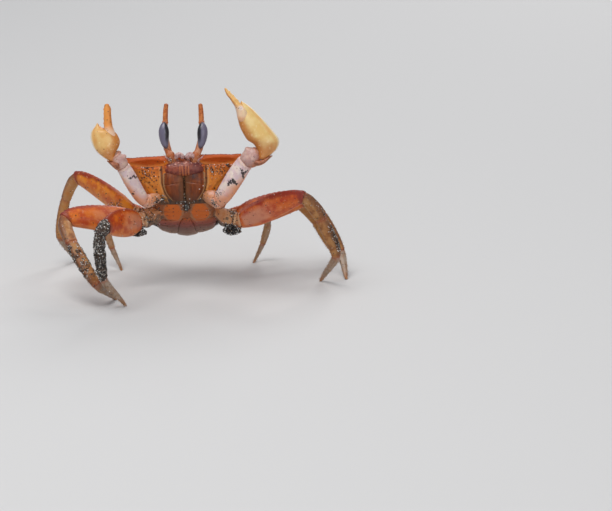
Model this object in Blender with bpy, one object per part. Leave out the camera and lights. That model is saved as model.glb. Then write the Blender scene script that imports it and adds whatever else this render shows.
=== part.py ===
"""Horned ghost crab, life size, standing on eight legs with both claws raised.

Lengths are in millimetres here and metres in the model. +X is the crab's left, -Y is where it faces and
+Z is up.
Every shell plate and limb segment is one closed solid. Where two meet, they end GAP apart.
"""

import math

import bmesh
import bpy
from mathutils import Matrix, Vector

MM = 0.001
GAP = 0.3
SEGMENT_PULL = 0.5  # how far a limb segment bends to meet its joints square on, 0 for none

# The trunk has its own axes: x to the crab's left, b back from the front margin, c up from it.
TRUNK_LENGTH = 33.5
TRUNK_PITCH = math.radians(30.0)  # front margin raised
TRUNK_ROLL = math.radians(2.3)  # right side lower
FRONT_MARGIN = Vector((0.0, -13.0, 49.7))  # middle of the front margin

# Dimensions of the trunk at stops along b.
MARGIN_HALF_WIDTH = ((0.0, 20.0), (8.0, 20.4), (18.0, 19.4), (27.0, 15.8), (32.0, 11.8), (33.5, 9.5))
MARGIN_HEIGHT = ((0.0, -0.5), (10.0, -0.8), (20.0, -1.8), (28.0, -4.2), (33.5, -7.6))
CROWN = ((0.0, 0.6), (5.0, 1.9), (12.0, 2.9), (22.0, 3.1), (30.0, 2.0), (33.5, 0.9))
HIP_HALF_WIDTH = ((0.0, 19.2), (2.0, 16.6), (4.0, 13.8), (6.0, 11.4), (12.0, 11.8), (20.0, 12.4),
                  (28.0, 10.6), (33.5, 7.0))
HIP_HEIGHT = ((0.0, -2.3), (2.0, -6.0), (4.0, -9.8), (6.0, -13.0), (12.0, -15.2), (20.0, -15.6),
              (28.0, -14.4), (33.5, -11.0))
BELLY_HEIGHT = ((0.0, -3.2), (2.0, -7.8), (4.0, -11.8), (6.0, -15.0), (11.0, -18.6), (16.0, -20.6),
                (22.0, -22.0), (27.0, -21.2), (31.0, -17.5), (33.5, -12.6))

# Colours of the finishes, with roughness.
FINISHES = {
    "shell_orange": ((0.62, 0.19, 0.035), 0.40),
    "belly_orange": ((0.66, 0.24, 0.05), 0.42),
    "mouth_brown": ((0.42, 0.14, 0.05), 0.45),
    "leg_red": ((0.58, 0.11, 0.03), 0.38),
    "leg_tan": ((0.48, 0.25, 0.08), 0.50),
    "arm_white": ((0.72, 0.50, 0.42), 0.42),
    "claw_cream": ((0.80, 0.53, 0.20), 0.36),
    "horn_orange": ((0.55, 0.17, 0.04), 0.40),
    "cornea_grey": ((0.07, 0.07, 0.10), 0.22),
}

# Joints of the walking legs: hip on the trunk, start of the merus, knee, end of the carpus, ankle, foot.
LEG_JOINTS = {
    "leg2_left": ((9.0, -11.0, 28.4), (20.7, -12.0, 26.2), (43.4, -18.0, 36.0), (49.8, -16.5, 27.6),
                  (55.4, -10.0, 12.0), (49.6, -1.0, 0.0)),
    "leg3_left": ((9.5, -5.5, 26.0), (19.2, -5.6, 25.6), (44.0, 4.0, 29.6), (50.0, 8.0, 22.6),
                  (57.2, 9.6, 8.6), (59.4, 1.0, 0.0)),
    "leg4_left": ((9.5, -1.0, 24.0), (18.2, 2.5, 22.4), (42.0, 16.0, 25.0), (48.0, 20.0, 17.8),
                  (54.0, 23.0, 6.6), (56.5, 33.0, 0.0)),
    "leg5_left": ((8.0, 4.0, 23.5), (13.6, 9.5, 21.8), (26.8, 21.0, 21.6), (30.0, 25.0, 15.2),
                  (28.0, 28.0, 6.4), (24.6, 24.6, 0.0)),
    "leg2_right": ((-9.0, -11.0, 28.2), (-16.2, -14.8, 26.4), (-27.0, -34.0, 29.4), (-28.9, -43.4, 28.2),
                   (-27.8, -42.4, 12.2), (-20.2, -34.6, 0.0)),
    "leg3_right": ((-9.5, -5.5, 25.6), (-17.4, -7.0, 24.6), (-43.0, -14.6, 26.8), (-40.2, -24.0, 20.6),
                   (-30.6, -36.4, 8.4), (-24.2, -25.6, 0.0)),
    "leg4_right": ((-9.5, -1.0, 23.6), (-19.0, 0.0, 26.2), (-40.4, 13.0, 35.6), (-45.0, 18.0, 26.4),
                   (-47.7, 21.0, 10.8), (-42.0, 26.6, 0.0)),
    "leg5_right": ((-8.0, 4.0, 23.1), (-14.0, 9.0, 22.2), (-29.4, 19.6, 23.2), (-31.0, 21.4, 16.6),
                   (-28.0, 18.6, 7.0), (-24.2, 13.6, 0.0)),
}

# Greatest width and thickness of each leg pair's merus, and the width of its propodus.
LEG_SIZES = {
    "leg2": (9.6, 4.4, 4.5),
    "leg3": (9.4, 4.4, 4.7),
    "leg4": (9.0, 4.0, 4.0),
    "leg5": (5.2, 2.9, 2.9),
}

# Joints of the arms: shoulder on the trunk, start of the merus, elbow, wrist. Then merus and carpus widths.
ARM_JOINTS = {
    "claw_left": ((8.6, -15.0, 34.4), (13.0, -18.4, 35.2), (22.7, -22.8, 50.2), (27.2, -23.4, 54.0)),
    "claw_right": ((-8.6, -15.0, 34.0), (-14.0, -18.0, 34.9), (-21.4, -22.4, 48.4), (-24.1, -23.0, 52.6)),
}
ARM_WIDTHS = {"claw_left": (6.5, 7.0), "claw_right": (5.2, 5.6)}
BASE_WIDTHS = (6.0, 6.2)
BASE_THICKNESSES = (5.4, 5.6)
WRIST_WIDTH = 4.4
WRIST_THICKNESS = 3.6

# Outlines of the hands and movable fingers, out to the side and up from the wrist, in a plane leaning back.
# An outer edge and an inner edge run side by side from the wrist to the tip.
HAND_LEAN = math.radians(15.0)
HAND_OUTLINES = {
    "claw_left": (
        ((0.9, -2.0), (5.6, 0.9), (6.9, 4.6), (4.6, 9.6), (1.0, 13.4), (-3.2, 16.9), (-6.2, 19.0)),
        ((-1.0, 2.0), (-3.6, 4.4), (-5.8, 7.8), (-7.7, 12.2), (-5.2, 14.9), (-5.3, 17.2), (-6.6, 18.8)),
    ),
    "claw_right": (
        ((2.1, -1.9), (5.7, 1.1), (7.9, 4.4), (8.6, 7.4), (8.3, 9.3), (7.7, 11.4), (6.6, 13.2)),
        ((-2.0, 1.9), (-2.4, 3.8), (-1.5, 6.6), (0.2, 9.9), (4.3, 9.5), (5.5, 11.2), (6.1, 13.0)),
    ),
}
HAND_THICKNESS = {
    "claw_left": (3.8, 6.0, 7.0, 6.2, 4.0, 2.4, 0.9),
    "claw_right": (3.2, 4.8, 5.4, 4.8, 2.8, 2.0, 0.9),
}
FINGER_OUTLINES = {
    "claw_left": (
        ((-5.8, 15.5), (-6.9, 17.8), (-9.0, 20.6), (-11.2, 22.9), (-12.1, 23.8)),
        ((-8.2, 13.7), (-9.3, 16.4), (-11.3, 19.6), (-12.7, 21.8), (-12.7, 23.6)),
    ),
    "claw_right": (
        ((4.0, 10.2), (4.0, 13.0), (3.9, 15.6), (3.6, 17.6), (3.1, 18.6)),
        ((0.7, 10.6), (1.2, 13.2), (1.6, 15.6), (1.8, 17.4), (2.3, 18.5)),
    ),
}
FINGER_THICKNESS = (3.0, 2.8, 2.3, 1.7, 0.9)

# Eyes, on the left: path of the stalk from the trunk to the tip of the horn, its radii, and the cornea.
STALK_PATH = ((3.7, -13.4, 48.0), (4.5, -13.8, 50.2), (5.7, -12.4, 53.0), (6.1, -10.6, 57.8),
              (6.6, -9.6, 62.6), (6.4, -8.2, 68.2))
STALK_RADII = (1.7, 1.7, 1.35, 1.2, 0.95, 0.55)
CORNEA_CENTRE = (7.1, -12.3, 57.7)
CORNEA_RADII = (1.9, 1.9, 5.0)


def across(stops, position):
    """Value at a position between stops, on a smooth curve through them."""
    last = len(stops) - 1
    k = max(i for i in range(last) if stops[i][0] <= position or i == 0)
    span = stops[k + 1][0] - stops[k][0]

    def slope(i):
        lo, hi = max(i - 1, 0), min(i + 1, last)
        return (stops[hi][1] - stops[lo][1]) / (stops[hi][0] - stops[lo][0])

    t = min(max((position - stops[k][0]) / span, 0.0), 1.0)
    return hermite(stops[k][1], stops[k + 1][1], slope(k) * span, slope(k + 1) * span, t)


def hermite(start, end, start_pull, end_pull, t):
    """Point at t on the cubic from start to end with the given pulls, for numbers or vectors."""
    return (start * (2 * t**3 - 3 * t**2 + 1) + start_pull * (t**3 - 2 * t**2 + t)
            + end * (3 * t**2 - 2 * t**3) + end_pull * (t**3 - t**2))


def through(points, t):
    """Point at t, from 0 to 1, on a smooth curve through the given points."""
    points = [Vector(p) for p in points]
    last = len(points) - 1
    k = min(int(t * last), last - 1)
    start, end = points[k], points[k + 1]
    before, after = points[max(k - 1, 0)], points[min(k + 2, last)]
    return hermite(start, end, (end - before) / 2, (after - start) / 2, t * last - k)


def level(values, t):
    """Value at t, from 0 to 1, on a smooth curve through evenly spaced values."""
    return through([(value, 0.0, 0.0) for value in values], t).x


def trunk_axes():
    """Matrix from trunk coordinates (x, b, c) to the world, in millimetres."""
    turn = Matrix.Rotation(-TRUNK_PITCH, 4, "X") @ Matrix.Rotation(-TRUNK_ROLL, 4, "Y")
    return Matrix.Translation(FRONT_MARGIN) @ turn


def finish_material(name):
    """Principled material of a finish."""
    material = bpy.data.materials.get(name) or bpy.data.materials.new(name)
    material.use_nodes = True
    colour, roughness = FINISHES[name]
    shader = material.node_tree.nodes["Principled BSDF"]
    shader.inputs["Base Color"].default_value = (*colour, 1.0)
    shader.inputs["Roughness"].default_value = roughness
    shader.inputs["Metallic"].default_value = 0.0
    return material


def add_solid(name, bm, finish):
    """New object from a mesh in millimetres, faces pointing out, shaded smooth over its round sides."""
    bmesh.ops.remove_doubles(bm, verts=bm.verts, dist=0.002)
    bmesh.ops.recalc_face_normals(bm, faces=bm.faces)
    bmesh.ops.scale(bm, vec=(MM, MM, MM), verts=bm.verts)
    mesh = bpy.data.meshes.new(name)
    bm.to_mesh(mesh)
    bm.free()
    mesh.shade_smooth()
    mesh.set_sharp_from_angle(angle=math.radians(50))
    solid = bpy.data.objects.new(name, mesh)
    bpy.context.collection.objects.link(solid)
    if finish:
        mesh.materials.append(finish_material(finish))
    return solid


def add_cutter(name, bm):
    """Solid that only shapes others and is no part of the crab."""
    cutter = add_solid(name, bm, None)
    cutter.hide_render = True
    cutter.display_type = "WIRE"
    return cutter


def shape(solid, operation, cutter):
    """Boolean of a solid with a cutter."""
    modifier = solid.modifiers.new(cutter.name, "BOOLEAN")
    modifier.operation = operation
    modifier.solver = "EXACT"
    modifier.object = cutter


def skin_rings(rings):
    """Closed mesh over rings of points that follow one another, flat at both ends."""
    bm = bmesh.new()
    loops = [[bm.verts.new(point) for point in ring] for ring in rings]
    for one, two in zip(loops, loops[1:]):
        for k in range(len(one)):
            j = (k + 1) % len(one)
            bm.faces.new((one[k], one[j], two[j], two[k]))
    bm.faces.new(loops[0])
    bm.faces.new(loops[-1])
    return bm


def oval_ring(centre, wide, deep, sides):
    """Ring of points on an oval with the given half axes."""
    angles = [2 * math.pi * (k + 0.5) / sides for k in range(sides)]
    return [centre + wide * math.sin(a) + deep * math.cos(a) for a in angles]


def cut_flat(bm, point, normal):
    """Flat cut that keeps the side the normal points to."""
    geometry = bm.verts[:] + bm.edges[:] + bm.faces[:]
    result = bmesh.ops.bisect_plane(
        bm, geom=geometry, dist=1e-5, plane_co=point, plane_no=normal, clear_inner=True)
    edges = [item for item in result["geom_cut"] if isinstance(item, bmesh.types.BMEdge)]
    bmesh.ops.contextual_create(bm, geom=edges)


# ---- Trunk ----


def trunk_section(b, swell):
    """Outline of the trunk at b: domed top, side walls that lean in to the hips, shallow belly."""
    margin, margin_c = across(MARGIN_HALF_WIDTH, b), across(MARGIN_HEIGHT, b)
    crown = across(CROWN, b)
    hip, hip_c = across(HIP_HALF_WIDTH, b), across(HIP_HEIGHT, b)
    belly_c = across(BELLY_HEIGHT, b)
    half = []
    for k in range(6):
        s = k / 6
        side = math.sin(s * math.pi / 2)
        half.append((margin * side, margin_c + crown * (1 - side**4)))
    for k in range(4):
        s = k / 4
        wall_bulge = 1.1 * math.sin(math.pi * s) * min(1.0, (margin_c - hip_c) / 8)
        half.append((margin + (hip - margin) * s + wall_bulge, margin_c + (hip_c - margin_c) * s))
    for k in range(5):
        s = k / 4
        down = math.sin(s * math.pi / 2) ** 0.7
        half.append((hip * math.cos(s * math.pi / 2) ** 0.7, hip_c + (belly_c - hip_c) * down))
    ring = half + [(-x, c) for x, c in half[-2:0:-1]]
    middle_c = (margin_c + belly_c) / 2
    grown = []
    for x, c in ring:
        away = Vector((x, c - middle_c))
        grown.append(Vector((x, b, c)) + Vector((away.x, 0.0, away.y)).normalized() * swell)
    return grown


def trunk_shape(swell=0.0):
    """Whole trunk, before it is parted into plates, grown all round by swell."""
    front = [float(k) for k in range(7)]
    stations = front + [8.0, 10.5, 13.5, 17.0, 20.5, 24.0, 27.0, 29.5, 31.5, 32.8, TRUNK_LENGTH]
    rings = [trunk_section(b, swell) for b in stations]
    rings[0] = [point - Vector((0.0, swell, 0.0)) for point in rings[0]]
    rings[-1] = [point + Vector((0.0, swell, 0.0)) for point in rings[-1]]
    bm = skin_rings(rings)
    bm.transform(trunk_axes())
    return bm


def profile_block(points, half_width=30.0):
    """Block whose side view is the given outline in (b, c), right across the trunk."""
    bm = skin_rings([[Vector((x, b, c)) for b, c in points] for x in (-half_width, half_width)])
    bm.transform(trunk_axes())
    return bm


def trunk_ellipsoid(centre, radii):
    """Ellipsoid in trunk coordinates."""
    bm = bmesh.new()
    bmesh.ops.create_uvsphere(bm, u_segments=14, v_segments=8, radius=1.0)
    bm.transform(trunk_axes() @ Matrix.Translation(centre) @ Matrix.Diagonal((*radii, 1.0)))
    return bm


def under_outline(inset):
    """Side view of the block that holds all that lies under the carapace, drawn in by inset."""
    return ((-6.0, -2.5 - inset), (7.0 - inset, -3.4 - inset), (8.6 - inset, -14.0 - inset),
            (40.0, -12.6 - inset), (40.0, -30.0), (-6.0, -30.0))


def add_trunk():
    """Carapace, face and sternum, parted from one shape, with the orbits sunk under the front margin."""
    under = add_cutter("cut_under", profile_block(under_outline(0.0)))
    inside = add_cutter("cut_inside", profile_block(under_outline(GAP)))
    orbits = [add_cutter(f"cut_orbit_{side}", trunk_ellipsoid((sign * 12.6, -0.4, -2.7), (7.2, 2.5, 1.5)))
              for side, sign in (("left", 1), ("right", -1))]
    rostrum = add_cutter("join_rostrum", trunk_ellipsoid((0.0, 0.3, -0.7), (2.0, 1.7, 1.5)))

    carapace = add_solid("carapace", trunk_shape(), "shell_orange")
    shape(carapace, "DIFFERENCE", under)
    shape(carapace, "UNION", rostrum)

    axes = trunk_axes()
    seam = axes @ Vector((0.0, 6.6, -15.6))
    back = axes.to_3x3() @ Vector((0.0, 0.80, -0.60))
    face_mesh = trunk_shape()
    cut_flat(face_mesh, seam - back * GAP / 2, -back)
    face = add_solid("face", face_mesh, "belly_orange")
    sternum_mesh = trunk_shape()
    cut_flat(sternum_mesh, seam + back * GAP / 2, back)
    sternum = add_solid("sternum", sternum_mesh, "belly_orange")
    for plate in (face, sternum):
        shape(plate, "INTERSECT", inside)
    for orbit in orbits:
        shape(carapace, "DIFFERENCE", orbit)
        shape(face, "DIFFERENCE", orbit)
    return face, sternum


def blade(left, right, thickness, axes, grow=0.0, rows=9, sides=10):
    """Flat limb between two edges that run side by side, of a thickness that changes along it."""
    rings = []
    for k in range(rows):
        t = k / (rows - 1)
        one, two = axes @ through(left, t), axes @ through(right, t)
        ahead = axes @ ((through(left, min(t + 0.02, 1.0)) + through(right, min(t + 0.02, 1.0))) / 2)
        behind = axes @ ((through(left, max(t - 0.02, 0.0)) + through(right, max(t - 0.02, 0.0))) / 2)
        run = (ahead - behind).normalized()
        wide = (one - two) / 2
        deep = wide.cross(run).normalized()
        thick = level(thickness, t)
        centre = (one + two) / 2 + run * grow * (2 * t - 1)
        rings.append(oval_ring(centre, wide + wide.normalized() * grow, deep * (thick / 2 + grow), sides))
    return skin_rings(rings)


def maxilliped_shape(sign, grow=0.0):
    """Outer mouthpart: a long lower plate and a shorter upper one, side by side over the mouth."""
    inner = [(sign * 0.25, b, c) for b, c in ((0.2, -4.2), (1.4, -7.4), (3.2, -11.0), (5.1, -14.6))]
    edge = ((5.4, 0.3, -4.5), (7.0, 1.4, -7.4), (7.2, 3.2, -11.0), (4.4, 5.0, -14.4))
    outer = [(sign * x, b, c) for x, b, c in edge]
    return blade(inner, outer, (2.2, 3.0, 3.0, 1.8), trunk_axes(), grow, rows=7)


def pleon_shape(grow=0.0):
    """Tail plate folded under the sternum, narrow as in a male, from the rear edge forward."""
    ridge = ((33.7, -10.6), (33.0, -13.6), (30.8, -17.5), (27.0, -20.9), (22.0, -21.8), (17.0, -20.7),
             (13.0, -19.2))
    half = (5.4, 5.0, 4.4, 3.7, 3.1, 2.5, 1.2)
    left = [(x, b, c) for x, (b, c) in zip(half, ridge)]
    right = [(-x, b, c) for x, b, c in left]
    return blade(left, right, (1.4, 1.6, 1.6, 1.6, 1.6, 1.4, 1.0), trunk_axes(), grow, rows=13)


def add_underside_plates(face, sternum):
    """Outer mouthparts sunk in the face, and the tail plate sunk in the sternum."""
    for side, sign in (("left", 1), ("right", -1)):
        add_solid(f"maxilliped_{side}", maxilliped_shape(sign), "mouth_brown")
        shape(face, "DIFFERENCE", add_cutter(f"cut_maxilliped_{side}", maxilliped_shape(sign, GAP)))
    add_solid("pleon", pleon_shape(), "belly_orange")
    recess = add_cutter("cut_pleon", pleon_shape(GAP))
    shape(sternum, "DIFFERENCE", recess)
    shape(bpy.data.objects["carapace"], "DIFFERENCE", recess)


# ---- Limbs ----


def segment_shape(start, end, start_run, end_run, flat, widths, thicknesses, rows, sides=8):
    """Limb segment on a curve from joint to joint; each end stops half a gap short of its joint's plane."""
    start = start + start_run * GAP / 2
    end = end - end_run * GAP / 2
    pull = (end - start).length * SEGMENT_PULL
    rings = []
    for k in range(rows):
        t = k / (rows - 1)
        centre = hermite(start, end, start_run * pull, end_run * pull, t)
        ahead = hermite(start, end, start_run * pull, end_run * pull, min(t + 0.01, 1.0))
        behind = hermite(start, end, start_run * pull, end_run * pull, max(t - 0.01, 0.0))
        run = (ahead - behind).normalized()
        wide = flat.cross(run).normalized()
        deep = run.cross(wide).normalized()
        width = level(widths, t)
        thick = level(thicknesses, t)
        rings.append(oval_ring(centre, wide * width / 2, deep * thick / 2, sides))
    return skin_rings(rings)


def joint_runs(joints):
    """Direction of the limb as it passes each joint, halfway between the segments that meet there."""
    runs = [(b - a).normalized() for a, b in zip(joints, joints[1:])]
    return [runs[0]] + [(a + b).normalized() for a, b in zip(runs, runs[1:])] + [runs[-1]]


def shares(size, *parts):
    """Sizes along a segment, as shares of one size."""
    return [size * part for part in parts]


def add_leg(name, trunk_cutter):
    """Walking leg: base, merus, carpus, propodus, and dactyl with a small flat where it meets the floor."""
    joints = [Vector(p) for p in LEG_JOINTS[name]]
    _, merus_start, knee, _, ankle, foot = joints
    merus_width, merus_thick, shin = LEG_SIZES[name[:4]]
    knee_width = merus_width * 0.58
    flat = (knee - merus_start).cross(foot - knee).normalized()
    if flat.y > 0:
        flat = -flat
    runs = joint_runs(joints)
    runs[-1] = (foot - ankle).normalized().lerp(Vector((0.0, 0.0, -1.0)), 0.35).normalized()
    joints[-1] = foot - runs[-1] * 0.2 + Vector((0.0, 0.0, -0.5))  # ends below the floor, where it is cut

    def segment(part, k, widths, thicknesses, rows, finish):
        sides = 10 if part == "merus" else 8
        ends = (joints[k], joints[k + 1], runs[k], runs[k + 1])
        bm = segment_shape(*ends, flat, widths, thicknesses, rows, sides)
        if part == "dactyl":
            cut_flat(bm, (0.0, 0.0, 0.0), (0.0, 0.0, 1.0))
        return add_solid(f"{name}_{part}", bm, finish)

    base_widths = (*shares(shin, 1.45, 1.5, 1.3), merus_width * 0.62)
    base_thicknesses = (*shares(shin, 1.05, 1.1, 0.95), merus_thick * 0.8)
    base = segment("base", 0, base_widths, base_thicknesses, 5, "leg_tan")
    shape(base, "DIFFERENCE", trunk_cutter)
    segment("merus", 1, (*shares(merus_width, 0.66, 0.98, 1.0, 0.82), knee_width),
            shares(merus_thick, 0.8, 1.0, 1.0, 0.9, 0.75), 9, "leg_red")
    segment("carpus", 2, (knee_width * 0.94, *shares(shin, 1.12, 1.02)),
            (merus_thick * 0.72, *shares(shin, 0.8, 0.7)), 5, "leg_tan")
    segment("propodus", 3, shares(shin, 0.96, 1.06, 1.0, 0.78), shares(shin, 0.68, 0.74, 0.66, 0.56), 6,
            "leg_tan")
    segment("dactyl", 4, (*shares(shin, 0.74, 0.62, 0.42), 0.8), (*shares(shin, 0.52, 0.44, 0.34), 0.75), 7,
            "leg_tan")


def add_arm(name, trunk_cutter):
    """Arm that bears a claw: base, merus, carpus, hand with its fixed finger, and movable finger."""
    joints = [Vector(p) for p in ARM_JOINTS[name]]
    merus_width, carpus_width = ARM_WIDTHS[name]
    side = 1.0 if name.endswith("left") else -1.0
    runs = joint_runs(joints)
    lean = Vector((0.0, math.sin(HAND_LEAN), math.cos(HAND_LEAN)))
    front = Vector((0.0, -math.cos(HAND_LEAN), math.sin(HAND_LEAN)))
    (heel_out, heel_up), (top_out, top_up) = HAND_OUTLINES[name][0][0], HAND_OUTLINES[name][1][0]
    runs[-1] = (Vector((side * (top_up - heel_up), 0.0, 0.0)) + lean * (heel_out - top_out)).normalized()

    def segment(part, k, widths, thicknesses, rows, finish):
        ends = (joints[k], joints[k + 1], runs[k], runs[k + 1])
        return add_solid(f"{name}_{part}", segment_shape(*ends, front, widths, thicknesses, rows), finish)

    base = segment("base", 0, (*BASE_WIDTHS, merus_width * 0.95), (*BASE_THICKNESSES, merus_width * 0.8), 5,
                   "leg_tan")
    shape(base, "DIFFERENCE", trunk_cutter)
    segment("merus", 1, shares(merus_width, 0.9, 1.0, 1.05, 0.95),
            shares(merus_width, 0.75, 0.86, 0.9, 0.8), 7, "arm_white")
    segment("carpus", 2, (merus_width * 0.9, *shares(carpus_width, 1.0, 0.95), WRIST_WIDTH),
            (merus_width * 0.75, *shares(carpus_width, 0.88, 0.8), WRIST_THICKNESS), 6, "arm_white")

    axes = Matrix((Vector((1.0, 0.0, 0.0)), lean, front)).transposed().to_4x4()
    axes = Matrix.Translation(joints[3] + runs[3] * GAP) @ axes
    edges = [[(x * side, up, 0.0) for x, up in edge] for edge in HAND_OUTLINES[name]]
    add_solid(f"{name}_hand", blade(*edges, HAND_THICKNESS[name], axes, rows=13), "claw_cream")
    edges = [[(x * side, up, 0.0) for x, up in edge] for edge in FINGER_OUTLINES[name]]
    add_solid(f"{name}_finger", blade(*edges, FINGER_THICKNESS, axes, rows=8), "claw_cream")


def cornea_shape(sign, grow=0.0):
    """Swollen upright cornea."""
    bm = bmesh.new()
    bmesh.ops.create_uvsphere(bm, u_segments=12, v_segments=9, radius=1.0)
    lean = Matrix.Rotation(-HAND_LEAN, 4, "X")
    centre = Vector((sign * CORNEA_CENTRE[0], CORNEA_CENTRE[1], CORNEA_CENTRE[2]))
    radii = [radius + grow for radius in CORNEA_RADII]
    bm.transform(Matrix.Translation(centre) @ lean @ Matrix.Diagonal((*radii, 1.0)))
    return bm


def add_eye(side, sign, trunk_cutter):
    """Eye: a stalk that runs up behind the cornea and ends in a horn, and the cornea."""
    path = [(sign * x, y, z) for x, y, z in STALK_PATH]
    rings = []
    rows = 11
    for k in range(rows):
        t = k / (rows - 1)
        run = (through(path, min(t + 0.02, 1.0)) - through(path, max(t - 0.02, 0.0))).normalized()
        wide = run.cross(Vector((0.0, 1.0, 0.0))).normalized()
        radius = level(STALK_RADII, t)
        rings.append(oval_ring(through(path, t), wide * radius, run.cross(wide) * radius, 8))
    stalk = add_solid(f"eyestalk_{side}", skin_rings(rings), "horn_orange")
    shape(stalk, "DIFFERENCE", trunk_cutter)
    shape(stalk, "DIFFERENCE", add_cutter(f"cut_cornea_{side}", cornea_shape(sign, GAP)))
    add_solid(f"cornea_{side}", cornea_shape(sign), "cornea_grey")


def settle():
    """Centre the crab over the origin. Its feet already end at floor level."""
    bpy.context.view_layer.update()
    solids = [item for item in bpy.context.scene.objects if not item.hide_render]
    corners = [solid.matrix_world @ Vector(corner) for solid in solids for corner in solid.bound_box]
    middle = [(max(p[k] for p in corners) + min(p[k] for p in corners)) / 2 for k in (0, 1)]
    for item in bpy.context.scene.objects:
        item.location = (-middle[0], -middle[1], 0.0)


for old in list(bpy.context.scene.objects):
    bpy.data.objects.remove(old, do_unlink=True)

face_plate, sternum_plate = add_trunk()
add_underside_plates(face_plate, sternum_plate)
trunk_clearance = add_cutter("cut_trunk", trunk_shape(GAP))
for leg_name in LEG_JOINTS:
    add_leg(leg_name, trunk_clearance)
for arm_name in ARM_JOINTS:
    add_arm(arm_name, trunk_clearance)
add_eye("left", 1, trunk_clearance)
add_eye("right", -1, trunk_clearance)
settle()
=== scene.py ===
"""Looks of the horned ghost crab: its shells, eyes, claws, joint skins, bristles and clinging sand.

Lengths are in millimetres. The body's own are from a place on the floor under the crab, 13 behind the middle
of its front edge, with +X to its left, -Y the way it faces and +Z up; place() turns them into the model's
metres. The trunk's own are x, b and c, along the shield's slope.
"""

import math

import bmesh
import bpy
import numpy as np
from mathutils import Matrix, Vector, noise


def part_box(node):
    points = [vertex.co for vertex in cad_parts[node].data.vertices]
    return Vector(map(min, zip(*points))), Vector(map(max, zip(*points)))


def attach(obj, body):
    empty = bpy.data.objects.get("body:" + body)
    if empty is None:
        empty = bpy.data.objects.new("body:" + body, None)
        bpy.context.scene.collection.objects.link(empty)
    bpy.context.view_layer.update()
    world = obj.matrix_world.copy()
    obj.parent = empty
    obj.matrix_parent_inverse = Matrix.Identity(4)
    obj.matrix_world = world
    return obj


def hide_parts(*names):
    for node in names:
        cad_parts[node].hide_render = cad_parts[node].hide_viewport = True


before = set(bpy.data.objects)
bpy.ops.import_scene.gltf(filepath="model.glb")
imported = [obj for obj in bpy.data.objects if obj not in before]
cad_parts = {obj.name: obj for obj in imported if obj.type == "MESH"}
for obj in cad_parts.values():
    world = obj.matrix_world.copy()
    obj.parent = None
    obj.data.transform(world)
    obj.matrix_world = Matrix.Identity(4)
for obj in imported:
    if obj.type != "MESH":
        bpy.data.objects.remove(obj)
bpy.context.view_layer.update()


# ---- Carapace ----
# The shield over the crab's back: one thin plate of hardened shell, squarish and gently domed, grown in
# lobes over the gut, heart and gills. It is finely pimpled, with a beaded rim and a spine at each front
# corner, and orange-red with paler freckles.

MM = 0.001
EYE_FORWARD = 12.3  # how far the eyes stand in front of the body's own origin
FRONT_EDGE = (0.0, -13.0, 49.7)  # middle of the carapace's front edge
PITCH = math.radians(30.0)  # nose up
ROLL = math.radians(2.3)  # left side up

eye_boxes = [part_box("cornea_left"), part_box("cornea_right")]
eyes_middle = sum((low + high for low, high in eye_boxes), Vector()) / 4
BODY = Vector((eyes_middle.x, eyes_middle.y + EYE_FORWARD * MM, 0.0))


def place(x, y, z):
    """Point of the model from the body's own millimetres."""
    return BODY + Vector((x, y, z)) * MM


# The trunk's own axes: x to the left, b back from the front edge, c up from it.
TRUNK = (Matrix.Translation(place(*FRONT_EDGE)) @ Matrix.Rotation(-PITCH, 4, "X")
         @ Matrix.Rotation(-ROLL, 4, "Y") @ Matrix.Scale(MM, 4))
TURN = TRUNK.to_3x3().normalized()
LEFT, BACK, UP = (np.array(TURN.col[k]) for k in range(3))  # those axes as directions


def trunk_places(points):
    """Trunk coordinates of points in metres, one row of x, b, c each, in millimetres."""
    back = np.array(TRUNK.inverted())
    return points @ back[:3, :3].T + back[:3, 3]


def only(piece):
    """Selects one piece and makes it active."""
    bpy.ops.object.select_all(action="DESELECT")
    piece.select_set(True)
    bpy.context.view_layer.objects.active = piece


def apply(piece, kind, **settings):
    """Adds a modifier to a piece and applies it."""
    only(piece)
    modifier = piece.modifiers.new(kind.title(), kind)
    for setting, value in settings.items():
        setattr(modifier, setting, value)
    bpy.ops.object.modifier_apply(modifier=modifier.name)


def copy_of(node, name):
    """A CAD node's mesh as a new piece, its loose triangles joined."""
    piece = bpy.data.objects.new(name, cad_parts[node].data.copy())
    bpy.context.collection.objects.link(piece)
    piece.data.materials.clear()
    only(piece)
    bpy.ops.object.mode_set(mode="EDIT")
    bpy.ops.mesh.select_all(action="SELECT")
    bpy.ops.mesh.remove_doubles(threshold=0.00001)
    bpy.ops.object.mode_set(mode="OBJECT")
    return piece


def grown_shell(node, name, grain, rounding):
    """A CAD plate as an even, finely divided mesh with its edges rounded."""
    piece = copy_of(node, name)
    apply(piece, "REMESH", mode="VOXEL", voxel_size=grain * MM)
    apply(piece, "SMOOTH", factor=0.5, iterations=rounding)
    bpy.ops.object.shade_smooth()
    return piece


def points_of(piece):
    """Places and normals of a piece's vertices, one row each."""
    mesh = piece.data
    places = np.empty(len(mesh.vertices) * 3)
    normals = np.empty(len(mesh.vertices) * 3)
    mesh.vertices.foreach_get("co", places)
    mesh.vertex_normals.foreach_get("vector", normals)
    return places.reshape(-1, 3), normals.reshape(-1, 3)


def move_points(piece, places):
    """Puts a piece's vertices at new places."""
    piece.data.vertices.foreach_set("co", np.ascontiguousarray(places).ravel())
    piece.data.update()


def paint(piece, name, values):
    """Keeps one number per vertex on a piece, for its material to read."""
    layer = piece.data.attributes.new(name, "FLOAT", "POINT")
    layer.data.foreach_set("value", np.ascontiguousarray(values, dtype=np.float32))


def hump(distance, width):
    """1 at distance 0, falling smoothly to nothing past width."""
    return np.exp(-((distance / width) ** 2))


def step(value, low, high):
    """0 below low, 1 above high, smooth between."""
    share = np.clip((value - low) / (high - low), 0.0, 1.0)
    return share * share * (3 - 2 * share)


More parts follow.
